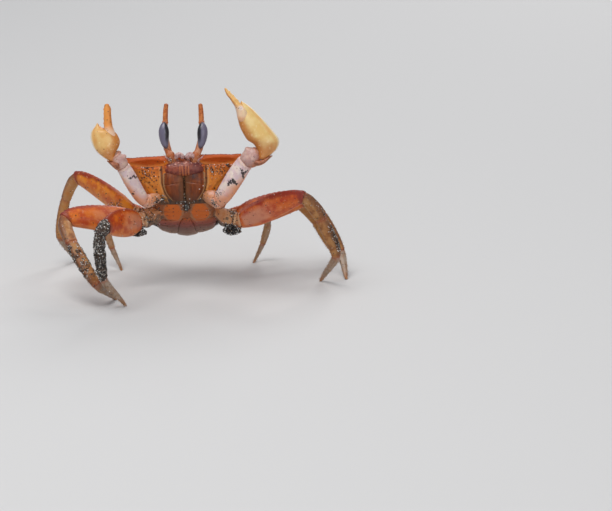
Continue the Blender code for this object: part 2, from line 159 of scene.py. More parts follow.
def line_distance(x, y, *corners):
    """Distance of points to a line of straight runs in a plane."""
    nearest = np.full(x.shape, 1e9)
    for (x0, y0), (x1, y1) in zip(corners, corners[1:]):
        share = ((x - x0) * (x1 - x0) + (y - y0) * (y1 - y0)) / ((x1 - x0) ** 2 + (y1 - y0) ** 2)
        share = np.clip(share, 0.0, 1.0)
        nearest = np.minimum(nearest, np.hypot(x - x0 - share * (x1 - x0), y - y0 - share * (y1 - y0)))
    return nearest


def beads(places, spacing, size=0.6):
    """Round pimples over a surface: height 0 to 1 at each place, about a spacing apart."""
    heights = np.empty(len(places))
    for k, point in enumerate(places / spacing):
        heights[k] = noise.voronoi(point)[0][0]
    return np.clip(1 - (heights / size) ** 2, 0.0, 1.0)


def ripples(places, size):
    """Slow uneven noise from -1 to 1 at each place, with lumps of the given size."""
    return np.array([noise.noise(point) for point in places / size]) * 1.6


SHIELD_LENGTH = 33.5
SHIELD_HALF = 20.0  # from its middle to its widest place
TRUNK_DEPTH = 15.0

# Furrows of the shield: depth as a share, half width, and the corners of its line on the left, x and b.
FURROWS = ((1.0, 0.8, (1.6, 11.0), (3.4, 13.8), (3.0, 17.5), (3.6, 21.0), (2.4, 25.5)),
           (0.55, 0.7, (0.0, 17.6), (3.0, 17.5)),
           (0.6, 1.0, (3.4, 13.8), (7.2, 11.6), (11.5, 8.6), (15.0, 7.8)),
           (0.5, 1.1, (3.6, 21.0), (7.5, 22.4), (10.8, 25.6)),
           (0.5, 0.6, (0.0, 3.2), (0.0, 7.5)))
# Lobes over the gills, gut and heart: height, reach, x and b of the middle, and their squeeze along the back.
SHIELD_LOBES = ((0.5, 6.0, 10.6, 17.0, 0.8), (0.35, 3.6, 0.0, 10.5, 1.0), (0.3, 2.6, 0.0, 21.2, 1.0),
                (0.25, 2.8, 6.0, 7.4, 1.0))

carapace = grown_shell("carapace", "carapace_shell", 0.27, 6)
places, normals = points_of(carapace)
x, b, c = trunk_places(places).T
across = np.abs(x)
top = step(normals @ UP, 0.15, 0.6)
furrow = sum(depth * hump(line_distance(across, b, *line), width) for depth, width, *line in FURROWS)
lobes = sum(hump(np.hypot(across - out, (b - back) * squeeze), reach) * height
            for height, reach, out, back, squeeze in SHIELD_LOBES)
rim = hump(np.abs(b - 0.4), 1.1) * step(across, 4.0, 6.0)
millimetres = places / MM
pimples = beads(millimetres, 0.62, 0.62)
lift = top * (lobes - 0.42 * furrow + 0.10 * pimples * (0.35 + step(across, 8.0, 17.0)))
lift += 0.10 * rim * beads(millimetres, 0.7)
lift += 0.12 * ripples(millimetres, 5.0) * top
lower_rim = step(normals @ np.array(TURN @ Vector((0, -0.5, -0.86))), 0.2, 0.7)
lift += 0.35 * lower_rim * step(-c, 2.0, 4.0)
corner = hump(np.hypot(across - 20.2, (b - 0.3) * 0.8), 1.9)
spine = np.sign(x)[:, None] * LEFT * 1.1 - BACK
raised = hump(b - 0.2, 1.5) * step(across, 3.5, 6.0) * 0.75  # the front edge, turned up over the eye sockets
move_points(carapace, places + normals * (lift * MM)[:, None] + spine * (corner * MM)[:, None]
            + UP * (raised * MM)[:, None])
# Painted shade: a near-black spot under the middle of the front edge, where the inner feelers fold.
snout_shade = hump(np.hypot(millimetres[:, 0] - BODY.x / MM - 0.9, (millimetres[:, 2] - 50.0) * 0.8), 1.0)
paint(carapace, "across", across / SHIELD_HALF)
paint(carapace, "back", b / SHIELD_LENGTH)
paint(carapace, "top", top)
paint(carapace, "down", -c / TRUNK_DEPTH)
paint(carapace, "furrow", np.clip(furrow, 0, 1))
paint(carapace, "hollow", snout_shade)


class Wire:
    """One value in a shader. Sums, differences and products of wires and numbers add Math nodes."""

    def __init__(self, tree, socket=None):
        self.tree = tree
        self.socket = socket

    def node(self, kind, settings=None, sockets=None, output=0):
        """New node of a kind: its settings first, then the numbers or wires of its sockets."""
        made = self.tree.nodes.new("ShaderNode" + kind)
        for setting, value in (settings or {}).items():
            setattr(made, setting, value)
        for name, value in (sockets or {}).items():
            if isinstance(value, Wire):
                self.tree.links.new(value.socket, made.inputs[name])
            else:
                made.inputs[name].default_value = value
        return Wire(self.tree, made.outputs[output])

    def also(self, output):
        """Another output of the same node."""
        return Wire(self.tree, self.socket.node.outputs[output])

    def math(self, operation, one, other):
        """Math node on two wires or numbers."""
        return self.node("Math", {"operation": operation}, {0: one, 1: other})

    def __add__(self, other):
        return self.math("ADD", self, other)

    def __radd__(self, other):
        return self.math("ADD", other, self)

    def __sub__(self, other):
        return self.math("SUBTRACT", self, other)

    def __rsub__(self, other):
        return self.math("SUBTRACT", other, self)

    def __mul__(self, other):
        return self.math("MULTIPLY", self, other)

    def __rmul__(self, other):
        return self.math("MULTIPLY", other, self)


def new_finish(name, **constants):
    """New material with numbers set on its shader, and a wire of places in millimetres."""
    material = bpy.data.materials.new(name)
    material.use_nodes = True
    shader = material.node_tree.nodes["Principled BSDF"]
    for socket, value in constants.items():
        shader.inputs[socket.replace("_", " ")].default_value = value
    start = Wire(material.node_tree)
    where = start.node("TexCoord", output="Object")
    return material, start.node("VectorMath", {"operation": "SCALE"}, {0: where, "Scale": 1 / MM})


def kept(where, name):
    """Wire of a number kept on the piece's vertices."""
    return where.node("Attribute", {"attribute_name": name}, output="Fac")


def patches(where, size, seed=0.0, detail=2.0):
    """Uneven noise, 0 to 1, with patches of a size in millimetres."""
    return where.node("TexNoise", {"noise_dimensions": "4D"},
                      {"Vector": where, "W": seed, "Scale": 1 / size, "Detail": detail})


def between(value, low, high):
    """0 below low, 1 above high, smooth between; low may be the greater."""
    return value.node("MapRange", {"interpolation_type": "SMOOTHSTEP"},
                      {"Value": value, "From Min": low, "From Max": high})


def specks(where, spacing, radius, share, seed=0.0):
    """Mask of ragged round specks: their spacing and radius in millimetres, and the share of places taken."""
    shifted = where.node("VectorMath", {"operation": "ADD"}, {0: where, 1: (seed, seed * 1.7, seed * 0.6)})
    ragged = shifted.node("TexNoise", sockets={"Vector": shifted, "Scale": 1.6 / radius, "Detail": 1.0})
    spots = shifted.node("TexVoronoi", sockets={"Vector": shifted, "Scale": 1 / spacing}, output="Distance")
    chosen = spots.also("Color").node("SeparateColor", sockets={0: spots.also("Color")}, output=0)
    size = radius / spacing
    spot = between(spots + (ragged - 0.5) * size * 1.2, size * 1.15, size * 0.75)
    return spot * between(chosen, share, share - 0.02)


def pimples_of(where, spacing):
    """Heights of close round pimples, for a bump."""
    spots = where.node("TexVoronoi", sockets={"Vector": where, "Scale": 1 / spacing}, output="Distance")
    return between(spots, 0.55, 0.1)


def mixed(mask, colour, other):
    """Colour where the mask is 0, the other where it is 1."""
    return mask.node("Mix", {"data_type": "RGBA"}, {0: mask, 6: colour, 7: other}, output=2)


def put_finish(material, colour, roughness=None, height=None, depth=0.1):
    """Joins colour, roughness and a bump, depth in millimetres, to a material's shader."""
    shader = material.node_tree.nodes["Principled BSDF"]
    links = material.node_tree.links
    links.new(colour.socket, shader.inputs["Base Color"])
    if roughness is not None:
        links.new(roughness.socket, shader.inputs["Roughness"])
    if height is not None:
        bump = height.node("Bump", sockets={"Height": height, "Distance": depth * MM, "Strength": 1.0})
        links.new(bump.socket, shader.inputs["Normal"])


def settle(piece, material, slot, *nodes):
    """Gives a piece its finish and hides the CAD nodes that it stands for. slot is not used."""
    piece.data.materials.clear()
    piece.data.materials.append(material)
    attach(piece, "root")
    if nodes:
        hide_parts(*nodes)


def rgb(red, green, blue):
    """Opaque colour."""
    return (red, green, blue, 1.0)


SHELL = {"Subsurface_Weight": 0.10, "Subsurface_Radius": (1.0, 0.35, 0.12), "Subsurface_Scale": 1.0 * MM,
         "Specular_IOR_Level": 0.32}

shell_finish, where = new_finish("carapace_shell", Coat_Weight=0.06, Coat_Roughness=0.3, **SHELL)
edge = between(kept(where, "back"), 0.10, 0.05)
top = between(kept(where, "top"), 0.10, 0.75)
cloud = patches(where, 6.0, 1.0, 3.0)
colour = mixed(between(cloud, 0.35, 0.7), rgb(0.46, 0.085, 0.013), rgb(0.60, 0.16, 0.028))
colour = mixed(kept(where, "furrow") * 0.55, colour, rgb(0.26, 0.045, 0.014))
colour = mixed(between(kept(where, "back") + patches(where, 3.0, 4.0) * 0.3, 0.75, 1.15) * 0.7, colour,
               rgb(0.56, 0.27, 0.11))
colour = mixed(specks(where, 1.5, 0.36, 0.45, 3.0) * 0.45, colour, rgb(0.78, 0.42, 0.15))
colour = mixed(specks(where, 1.1, 0.22, 0.35, 8.0) * 0.65, colour, rgb(0.14, 0.030, 0.015))
colour = mixed(between(kept(where, "across"), 0.72, 1.0) * 0.4, colour, rgb(0.70, 0.30, 0.09))
colour = mixed(edge * top * 0.9, colour, rgb(0.22, 0.030, 0.008))
down = kept(where, "down")
wall = mixed(between(down + patches(where, 2.0, 2.0) * 0.06, 0.13, 0.21), rgb(0.52, 0.085, 0.006),
             rgb(0.62, 0.185, 0.018))
wall = mixed(specks(where, 0.8, 0.24, 0.40, 5.0) * between(down, 0.10, 0.18) * 0.85, wall,
             rgb(0.055, 0.018, 0.010))
colour = mixed((1 - top) * 0.9, colour, wall)
# painted shade under the snout
colour = mixed(kept(where, "hollow") * 0.95, colour, rgb(0.03, 0.015, 0.012))
grain = pimples_of(where, 0.42) * 0.6 + patches(where, 1.5, 6.0) * 0.5
put_finish(shell_finish, colour, 0.36 + patches(where, 2.0, 9.0) * 0.22, grain, 0.06)
settle(carapace, shell_finish, "shell_orange", "carapace")


# ---- Face ----
# The front wall under the shield's edge: thin cheek plates, glowing orange where light passes through them,
# with the eye sockets along their top and a well in the middle for the mouthparts. It grows with the shield.

# Lines of the face on the left, x and c of their corners.
SOCKET_RIM = ((5.2, -3.6), (8.0, -4.35), (12.6, -4.5), (17.0, -4.1), (19.4, -2.6))
CHEEK_SEAM = ((18.2, -4.6), (15.4, -6.6), (12.0, -9.4), (9.2, -12.8))
MOUTH_WELL = ((8.6, -3.4), (8.7, -8.6), (7.7, -12.3), (5.9, -15.0))
WELL_GUTTER = ((8.0, -3.4), (8.1, -8.6), (7.1, -12.0), (5.3, -15.0))

face = grown_shell("face", "face_shell", 0.2, 5)
places, normals = points_of(face)
x, _, c = trunk_places(places).T
across = np.abs(x)
front = step(-(normals @ BACK), 0.1, 0.6)
millimetres = places / MM
socket_rim = hump(line_distance(across, c, *SOCKET_RIM), 0.5)
seam = hump(line_distance(across, c, *CHEEK_SEAM), 0.38)
well = hump(line_distance(across, c, *MOUTH_WELL), 0.40)
gutter = hump(line_distance(across, c, *WELL_GUTTER), 0.35)
cheek = hump(np.hypot((across - 12.0) * 0.8, c + 7.6), 3.4)
lift = front * (0.36 * socket_rim * (0.45 + beads(millimetres, 0.75, 0.6)) - 0.16 * seam + 0.22 * well
                + 0.5 * cheek + 0.06 * beads(millimetres, 0.8, 0.5) * step(-c, 5.0, 7.0))
lift += 0.08 * ripples(millimetres, 3.0) + 0.40 * (1 - front) * step(-c, 3.0, 5.0)
raised = step(c, -5.6, -4.4) * step(across, 5.0, 7.0) * 0.55  # each socket's lower lip covers the join above
move_points(face, places + normals * (lift * MM)[:, None] + (UP - 0.5 * BACK) * (raised * MM)[:, None])
paint(face, "down", -c / TRUNK_DEPTH)
paint(face, "across", across / SHIELD_HALF)
paint(face, "socket", step(-c, 5.0, 3.4) * step(across, 4.0, 6.0))
paint(face, "seam", np.clip(0.4 * seam + 1.2 * gutter, 0, 1))
# Painted shade: a near-black strip down the middle of the face, seen through the slit between the mouth
# plates.
paint(face, "gap", hump(x, 0.8) * step(-c, 4.5, 5.5))
paint(face, "rim", np.clip(well, 0, 1))
paint(face, "freckled", np.clip(hump(np.hypot((x + 12.4) * 0.8, c + 5.0), 3.6)
                                + hump(np.hypot((x - 11.6) * 0.7, c + 3.8), 3.6), 0, 1))

cheek_finish, where = new_finish("cheek_shell", Coat_Weight=0.12, Coat_Roughness=0.2, **SHELL)
down = kept(where, "down")
colour = mixed(between(down + patches(where, 3.0, 2.0) * 0.25, 0.30, 0.75), rgb(0.56, 0.125, 0.012),
               rgb(0.64, 0.20, 0.018))
colour = mixed(between(kept(where, "across"), 0.62, 0.95) * 0.5, colour, rgb(0.66, 0.22, 0.020))
# Painted glow: yellow-orange patches low on the cheeks, as where light shines through the thin plates.
colour = mixed(between(patches(where, 2.6, 21.0, 3.0), 0.46, 0.66) * between(down, 0.42, 0.62) * 0.55, colour,
               rgb(0.74, 0.30, 0.035))
colour = mixed(between(patches(where, 1.8, 27.0, 3.0), 0.50, 0.68) * 0.45, colour, rgb(0.34, 0.065, 0.012))
colour = mixed(between(patches(where, 1.6, 5.0, 3.0), 0.52, 0.72) * 0.45, colour, rgb(0.80, 0.36, 0.09))
colour = mixed(kept(where, "socket") * 0.7, colour, rgb(0.48, 0.080, 0.006))
colour = mixed(kept(where, "rim") * 0.45, colour, rgb(0.66, 0.36, 0.13))
colour = mixed(kept(where, "seam") * 0.85, colour, rgb(0.07, 0.020, 0.010))
freckle = specks(where, 0.85, 0.34, 0.60, 5.0) * between(kept(where, "freckled"), 0.18, 0.7)
freckle = freckle + specks(where, 1.4, 0.36, 0.40, 11.0) * 0.9
colour = mixed(between(freckle, 0.1, 0.6) * 0.9, colour, rgb(0.055, 0.018, 0.010))
# Darker towards the bottom of the face.
darkening = between(down + patches(where, 1.4, 7.0) * 0.35, 1.02, 1.18)
colour = mixed(darkening * 0.9, colour, rgb(0.040, 0.026, 0.020))
# painted shade in the slit between the mouth plates
colour = mixed(kept(where, "gap") * 0.95, colour, rgb(0.030, 0.014, 0.010))
put_finish(cheek_finish, colour, 0.34 + patches(where, 1.5, 3.0) * 0.25, pimples_of(where, 0.5), 0.05)
settle(face, cheek_finish, "belly_orange", "face")


# ---- Breast plate ----
# The breast, or sternum, is one heavy plate of shell grown of seven rings, with two amber swellings in front.
# The tail lies folded forward along it, held by two small knobs inside.

BREAST_RINGS = (8.6, 12.6, 16.6, 20.4, 24.0, 27.4)  # how far back each ring meets the next
BREAST_HALF = 12.0

sternum = grown_shell("sternum", "sternum_shell", 0.27, 6)
places, normals = points_of(sternum)
x, b, c = trunk_places(places).T
across = np.abs(x)
under = step(-c, 9.0, 12.0)
height = places[:, 2] / MM
foremost = step(18.0 - b, 0.0, 4.0)
pillows = hump(np.hypot(np.abs(x - 0.3) - 5.0, (height - 29.4) * 0.78) * 0.8, 2.6) * foremost
rings = sum(hump(b - stop - 0.16 * across, 0.34) for stop in BREAST_RINGS)
rings = rings * step(across, 3.0, 5.0) * (1 - 0.8 * pillows)
lift = -0.38 * rings * under + 0.55 * pillows + 0.07 * ripples(places / MM, 2.5)
move_points(sternum, places + normals * (lift * MM)[:, None])
paint(sternum, "rings", np.clip(rings, 0, 1))
paint(sternum, "pillow", np.clip(pillows * 1.3, 0, 1))
paint(sternum, "high", step(height, 25.2, 26.6) * foremost)
paint(sternum, "back", b / SHIELD_LENGTH)
paint(sternum, "across", across / BREAST_HALF)
paint(sternum, "height", height / 50.0)
paint(sternum, "notch", hump(x - 0.6, 1.5) * step(-c, 19.6, 17.0) * step(10.0 - b, 0.0, 2.0))

breast_finish, where = new_finish("breast_shell", Coat_Weight=0.12, Coat_Roughness=0.2, **SHELL)
height = kept(where, "height")
# Painted shade: the breast turns grey-brown below about 24 mm up, where it turns under the body.
colour = mixed(between(height + patches(where, 2.5, 1.0) * 0.03, 0.475, 0.535), rgb(0.165, 0.075, 0.055),
               rgb(0.40, 0.085, 0.010))
colour = mixed(kept(where, "high") * 0.75, colour, rgb(0.24, 0.080, 0.026))
lobe = kept(where, "pillow") + (patches(where, 1.2, 3.0) - 0.5) * 0.55
colour = mixed(between(lobe, 0.28, 0.40) * between(lobe, 0.60, 0.46) * 0.30, colour, rgb(0.50, 0.28, 0.14))
colour = mixed(between(lobe, 0.42, 0.60), colour, rgb(0.56, 0.115, 0.006))
# a mauve band along the edge of that painted shade
pink = between(height, 0.43, 0.475) * between(height, 0.535, 0.49)
colour = mixed(pink * 0.65, colour, rgb(0.26, 0.040, 0.026))
colour = mixed(between(kept(where, "back"), 0.5, 0.9) * 0.6, colour, rgb(0.60, 0.40, 0.27))
colour = mixed(kept(where, "rings") * 0.6, colour, rgb(0.16, 0.07, 0.04))
colour = mixed(specks(where, 1.2, 0.30, 0.35, 2.0) * 0.85, colour, rgb(0.05, 0.02, 0.012))
wet_sand = kept(where, "notch") * between(patches(where, 0.8, 4.0), 0.3, 0.5)
colour = mixed(wet_sand, colour, rgb(0.04, 0.03, 0.02))
colour = mixed(between(kept(where, "across") + patches(where, 1.6, 8.0) * 0.4, 1.05, 1.30) * 0.7, colour,
               rgb(0.09, 0.06, 0.045))
put_finish(breast_finish, colour, 0.34 + patches(where, 1.5, 3.0) * 0.25, pimples_of(where, 0.55), 0.04)
settle(sternum, breast_finish, "belly_orange", "sternum")


# ---- Walking legs ----
# Eight legs of hard, hollow shell segments. The upper segment, the merus, is a broad flat blade; beyond the
# knee come a short carpus, a long propodus and a slender, fluted dactyl that ends in a point.
# The segments are grown one by one and hinge on each other at soft joint skins.

LEG_PARTS = ("base", "merus", "carpus", "propodus", "dactyl")
MERUS_SIDES = 10  # sides of the CAD solids' segments
SEGMENT_SIDES = 8
CAP_REACH = 5.0  # how far from a joint a segment's flat end may lie
LEVEL_WITH = 0.999  # how nearly faces look the same way to be one flat


def merged_points(node):
    """A CAD node's points in millimetres, each once."""
    points = np.array([vertex.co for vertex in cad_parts[node].data.vertices]) / MM
    return np.unique(np.round(points, 3), axis=0)


def joint_between(one, other):
    """Middle of the joint where two CAD nodes face each other."""
    a, b = merged_points(one), merged_points(other)
    gaps = np.linalg.norm(a[:, None] - b[None], axis=2)
    near = 1.2 + gaps.min()
    return (a[gaps.min(1) < near].mean(0) + b[gaps.min(0) < near].mean(0)) / 2


def rings_of(node, joint, sides):
    """Rings of points along a CAD limb segment, in millimetres, from its flat end at a joint onwards.

    Without a joint, they start from its largest flat face.
    """
    shape = bmesh.new()
    shape.from_mesh(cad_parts[node].data)
    bmesh.ops.remove_doubles(shape, verts=shape.verts, dist=0.00001)
    middle = sum((corner.co for corner in shape.verts), Vector()) / len(shape.verts)
    joint = middle if joint is None else Vector(joint) * MM
    cap, cap_area = [], 0.0
    for face in shape.faces:
        spot = face.calc_center_median()
        if joint != middle and (face.normal.dot((middle - joint).normalized()) > -0.3
                                or abs((spot - joint).dot(face.normal)) > 0.4 * MM
                                or (spot - joint).length > CAP_REACH * MM):
            continue
        flat = [other for other in shape.faces if other.normal.dot(face.normal) > LEVEL_WITH
                and abs((other.calc_center_median() - spot).dot(face.normal)) < 0.03 * MM]
        area = sum(other.calc_area() for other in flat)
        if area > cap_area:
            cap, cap_area = flat, area
    ring = {corner for face in cap for corner in face.verts}
    seen, rings = set(), []
    while ring:
        rings.append(np.array([corner.co[:] for corner in ring]) / MM)
        seen |= ring
        ring = {edge.other_vert(corner) for corner in ring for edge in corner.link_edges} - seen
    shape.free()
    whole = [sides <= len(ring) <= sides + 1 for ring in rings]
    return rings[:whole.index(False)] if False in whole else rings


def smooth_through(values, position):
    """Smooth curve through rows of values; positions run from 0 to 1."""
    last = len(values) - 1
    padded = np.vstack([values[:1] * 2 - values[1:2], values, values[-1:] * 2 - values[-2:-1]])
    k = np.clip((position * last).astype(int), 0, last - 1)
    t = (position * last - k)[:, None]
    p0, p1, p2, p3 = (padded[k + i] for i in range(4))
    return 0.5 * (2 * p1 + (p2 - p0) * t + (2 * p0 - 5 * p1 + 4 * p2 - p3) * t**2
                  + (3 * p1 - p0 - 3 * p2 + p3) * t**3)


def ring_axes(spread, flat, outer):
    """Half axes of a ring about its middle: across its width, towards outer, and through its thickness."""
    wide = np.linalg.svd(spread - np.outer(spread @ flat, flat))[2][0]
    wide = wide * np.sign(wide @ outer)
    deep = np.cross(np.linalg.svd(spread)[2][2], wide)
    deep = deep / np.linalg.norm(deep) * np.sign(deep @ flat)
    return wide * np.abs(spread @ wide).max(), deep * np.abs(spread @ deep).max()


def limb_shell(name, rings, flat, outer, rows, sides, shape, bulb=0.9, tip=None):
    """Segment skinned over CAD rings: a ball turned into a tube, with a rounded start and a dished end.

    flat is the direction that the flat of the limb faces, and outer one that its outer edge looks to.
    shape(along, angle) gives how far each point stands out as a share of the section, and a lift in mm.
    """
    centres = np.array([ring.mean(0) for ring in rings])
    runs = np.gradient(centres, axis=0)
    runs /= np.linalg.norm(runs, axis=1)[:, None]
    wides, deeps = [], []
    for ring, centre in zip(rings, centres):
        wide, deep = ring_axes(ring - centre, flat, wides[-1] if wides else outer)
        wides.append(wide)
        deeps.append(deep)
    wides, deeps = np.array(wides), np.array(deeps)

    cap = 5
    swell = np.sin(np.linspace(0.0, 1.0, cap + 1)[:-1] * math.pi / 2)
    start_run = -bulb * np.cos(np.linspace(0.0, 1.0, cap + 1)[:-1] * math.pi / 2)
    middle = rows - 2 * cap + 1
    along = np.concatenate([np.zeros(cap), np.linspace(0.0, 1.0, middle), np.ones(cap)])
    if tip is None:  # an open end's lip, turned in
        end_full = np.array([0.94, 0.84, 0.62, 0.34, 0.0])
        end_run = np.array([0.16, 0.18, 0.02, -0.12, -0.15])
    else:
        end_full = swell[::-1]
        end_run = tip * np.cos(np.linspace(0.0, 1.0, cap + 1)[:-1] * math.pi / 2)[::-1]
    full = np.concatenate([swell * 0.96, np.ones(middle), end_full])
    full[cap:cap + 3] *= np.array([0.96, 0.975, 0.99])
    extra = np.concatenate([start_run, np.zeros(middle), end_run])

    bpy.ops.object.select_all(action="DESELECT")
    bpy.ops.mesh.primitive_uv_sphere_add(segments=sides, ring_count=rows, radius=1.0)
    piece = bpy.context.active_object
    piece.name = piece.data.name = name
    ball = np.empty(len(piece.data.vertices) * 3)
    piece.data.vertices.foreach_get("co", ball)
    ball = ball.reshape(-1, 3)
    row = np.rint(np.arccos(np.clip(ball[:, 2], -1, 1)) / math.pi * rows).astype(int)
    angle = np.arctan2(ball[:, 1], ball[:, 0])
    t = along[row]
    share, lift = shape(t, angle)
    centre, run = smooth_through(centres, t), smooth_through(runs, t)
    wide, deep = smooth_through(wides, t), smooth_through(deeps, t)
    fit = 1.03  # a smooth oval is a little inside the corners of the CAD rings
    spread = (wide * np.sin(angle)[:, None] + deep * np.cos(angle)[:, None]) * fit
    out = spread / np.maximum(np.linalg.norm(spread, axis=1), 1e-6)[:, None]
    ball = centre + run * extra[row][:, None]
    ball += spread * (share * full[row])[:, None] + out * (lift * full[row])[:, None]
    ball[:, 2] = np.maximum(ball[:, 2], 0.0)
    move_points(piece, ball * MM)
    only(piece)
    bpy.ops.object.mode_set(mode="EDIT")
    bpy.ops.mesh.select_all(action="SELECT")
    bpy.ops.mesh.normals_make_consistent(inside=False)
    bpy.ops.object.mode_set(mode="OBJECT")
    bpy.ops.object.shade_smooth()
    paint(piece, "along", t)
    paint(piece, "outer", np.sin(angle))
    paint(piece, "front", np.cos(angle))
    return piece


def edge_hump(angle, middle, width):
    """1 along one edge of a limb, falling off round it; angles in degrees, 90 the outer edge."""
    away = (np.degrees(angle) - middle + 180) % 360 - 180
    return hump(away, width)


def merus_shape(along, angle):
    """Flat blade with a sharp saw-toothed outer edge, a lesser one below, and rough cross ridges."""
    middle = np.sin(np.pi * np.clip(along, 0, 1)) ** 0.5
    share = 1 - 0.07 * np.abs(np.sin(2 * angle)) ** 2 * middle
    teeth = np.abs((along * 17 % 1.0) - 0.7)
    lift = 0.26 * edge_hump(angle, 90, 12) * middle * (1 - teeth)
    lift += 0.14 * edge_hump(angle, -68, 13) * middle + 0.10 * edge_hump(angle, -112, 13) * middle
    wander = along * 26 + 0.9 * np.sin(angle * 2.0 + along * 9) + 0.5 * np.sin(angle * 5.0 + along * 31)
    ridges = np.clip(np.sin(wander * 2 * np.pi), 0, 1) ** 3
    lift += 0.07 * ridges * middle * step(np.sin(angle), -0.35, 0.5)
    lift += 0.16 * hump(along - 0.975, 0.02)
    return share, lift


def carpus_shape(along, angle):
    """Short segment with two ridges down its outer side."""
    lift = 0.16 * edge_hump(angle, 55, 14) + 0.16 * edge_hump(angle, 120, 14)
    lift -= 0.10 * edge_hump(angle, 88, 14)
    lift += 0.12 * hump(along - 0.95, 0.04)
    return np.ones_like(along), lift * np.sin(np.pi * np.clip(along, 0.04, 0.96)) ** 0.4


def propodus_shape(along, angle):
    """Long segment, squarish in section, with shallow channels between its four ridges."""
    lift = 0.13 * np.cos(4 * angle - math.pi) * np.sin(np.pi * np.clip(along, 0.05, 0.95)) ** 0.4
    lift += 0.05 * np.sin(along * 90 + 3 * angle) * edge_hump(angle, 90, 40)
    lift += 0.10 * hump(along - 0.96, 0.03)
    return np.ones_like(along), lift


def dactyl_shape(along, angle):
    """Slender toe with six flutes that fade towards its tip."""
    return np.ones_like(along), 0.10 * np.cos(6 * angle) * (1 - along) ** 0.5


def base_shape(along, angle):
    """Ring-like base segment, a little waisted at its seam with the next."""
    lift = -0.22 * hump(along - 0.62, 0.035) + 0.12 * hump(along - 0.72, 0.05)
    lift += 0.12 * hump(along - 0.97, 0.03)
    return np.ones_like(along), lift


def joint_skin(name, joint, run, wide, deep):
    """Soft skin that fills the joint between two segments, as a ball drawn out across it."""
    bpy.ops.object.select_all(action="DESELECT")
    bpy.ops.mesh.primitive_uv_sphere_add(segments=20, ring_count=12, radius=1.0)
    skin = bpy.context.active_object
    skin.name = name
    skin.data.transform(Matrix.Translation(Vector(joint) * MM) @ Matrix(
        (Vector(wide) * MM, Vector(deep) * MM, Vector(run) * MM)).transposed().to_4x4())
    return skin


def joined(pieces, name):
    """One piece made of several, shaded smooth."""
    bpy.ops.object.select_all(action="DESELECT")
    for piece in pieces:
        piece.select_set(True)
    bpy.context.view_layer.objects.active = pieces[0]
    bpy.ops.object.join()
    whole = bpy.context.active_object
    whole.name = whole.data.name = name
    bpy.ops.object.shade_smooth()
    return whole


LEG_SHAPES = {  # each segment's shape, and its rows and sides of faces
    "base": (base_shape, 48, 40), "merus": (merus_shape, 150, 60), "carpus": (carpus_shape, 60, 44),
    "propodus": (propodus_shape, 90, 44), "dactyl": (dactyl_shape, 80, 36)}


def on_trunk(points):
    """Places in the model, in millimetres, of points in trunk coordinates."""
    return np.array([TRUNK @ Vector(point) for point in points]) / MM


HEART = on_trunk([(0.0, 13.0, -8.0)])[0]  # base segments reach towards it, inside the trunk
ROOT_REACH = 5.0  # how far they reach in past the trunk's wall


def limb_rings(name, parts, sides):
    """Joints of a limb, and the rings along each of its segments, from its CAD nodes."""
    joints = [joint_between(f"{name}_{one}", f"{name}_{other}") for one, other in zip(parts, parts[1:])]
    base = rings_of(f"{name}_{parts[0]}", joints[0], SEGMENT_SIDES)[::-1]
    start = base[0].mean(0)
    inward = (HEART - start) / np.linalg.norm(HEART - start)
    rings = {parts[0]: [(base[0] - start) * 0.8 + start + inward * ROOT_REACH] + base}
    for joint, part in zip(joints, parts[1:]):
        rings[part] = rings_of(f"{name}_{part}", joint, sides.get(part, SEGMENT_SIDES))
    return joints, rings


def skins_of(name, parts, joints, rings, flat):
    """The soft skins of a limb's joints as one piece; flat is the way that its flat sides face."""
    skins = []
    for k, joint in enumerate(joints):
        ahead = rings[parts[k + 1]][0]
        run = rings[parts[k + 1]][1].mean(0) - rings[parts[k]][-2].mean(0)
        run /= np.linalg.norm(run)
        wide = np.cross(flat, run)
        deep = np.cross(run, wide)
        reach = [np.abs((ahead - ahead.mean(0)) @ way).max() * 0.93 for way in (wide, deep)]
        skins.append(joint_skin(f"{name}_skin_{k}", joint, run * 1.3, wide * reach[0], deep * reach[1]))
    return joined(skins, f"{name}_joint_skins")


def base_finish_of(name):
    """Ochre base segments with cream rims, and dark wet sand in their seams."""
    material, where = new_finish(name, Coat_Weight=0.2, Coat_Roughness=0.35, **SHELL)
    along, outer = kept(where, "along"), kept(where, "outer")
    cloud = patches(where, 2.2, 1.0, 3.0)
    colour = mixed(between(cloud, 0.35, 0.68), rgb(0.50, 0.165, 0.050), rgb(0.56, 0.28, 0.13))
    colour = mixed(between(outer + cloud * 0.5, 0.1, -0.5) * 0.6, colour, rgb(0.30, 0.15, 0.085))
    rims = between(along, 0.90, 0.97) + between(along, 0.66, 0.70) * between(along, 0.78, 0.74)
    colour = mixed(rims * 0.55, colour, rgb(0.70, 0.47, 0.28))
    seam = between(along, 0.585, 0.61) * between(along, 0.655, 0.635)
    colour = mixed(seam * 0.8, colour, rgb(0.09, 0.05, 0.03))
    colour = mixed(specks(where, 1.1, 0.30, 0.55, 3.0) * 0.9, colour, rgb(0.045, 0.03, 0.022))
    darkening = between(patches(where, 2.6, 12.0, 4.0) - outer * 0.10 - along * 0.12, 0.47, 0.56)
    colour = mixed(darkening * 0.7, colour, rgb(0.065, 0.050, 0.040))
    put_finish(material, colour, 0.38 + cloud * 0.25, pimples_of(where, 0.5) + darkening, 0.05)
    return material


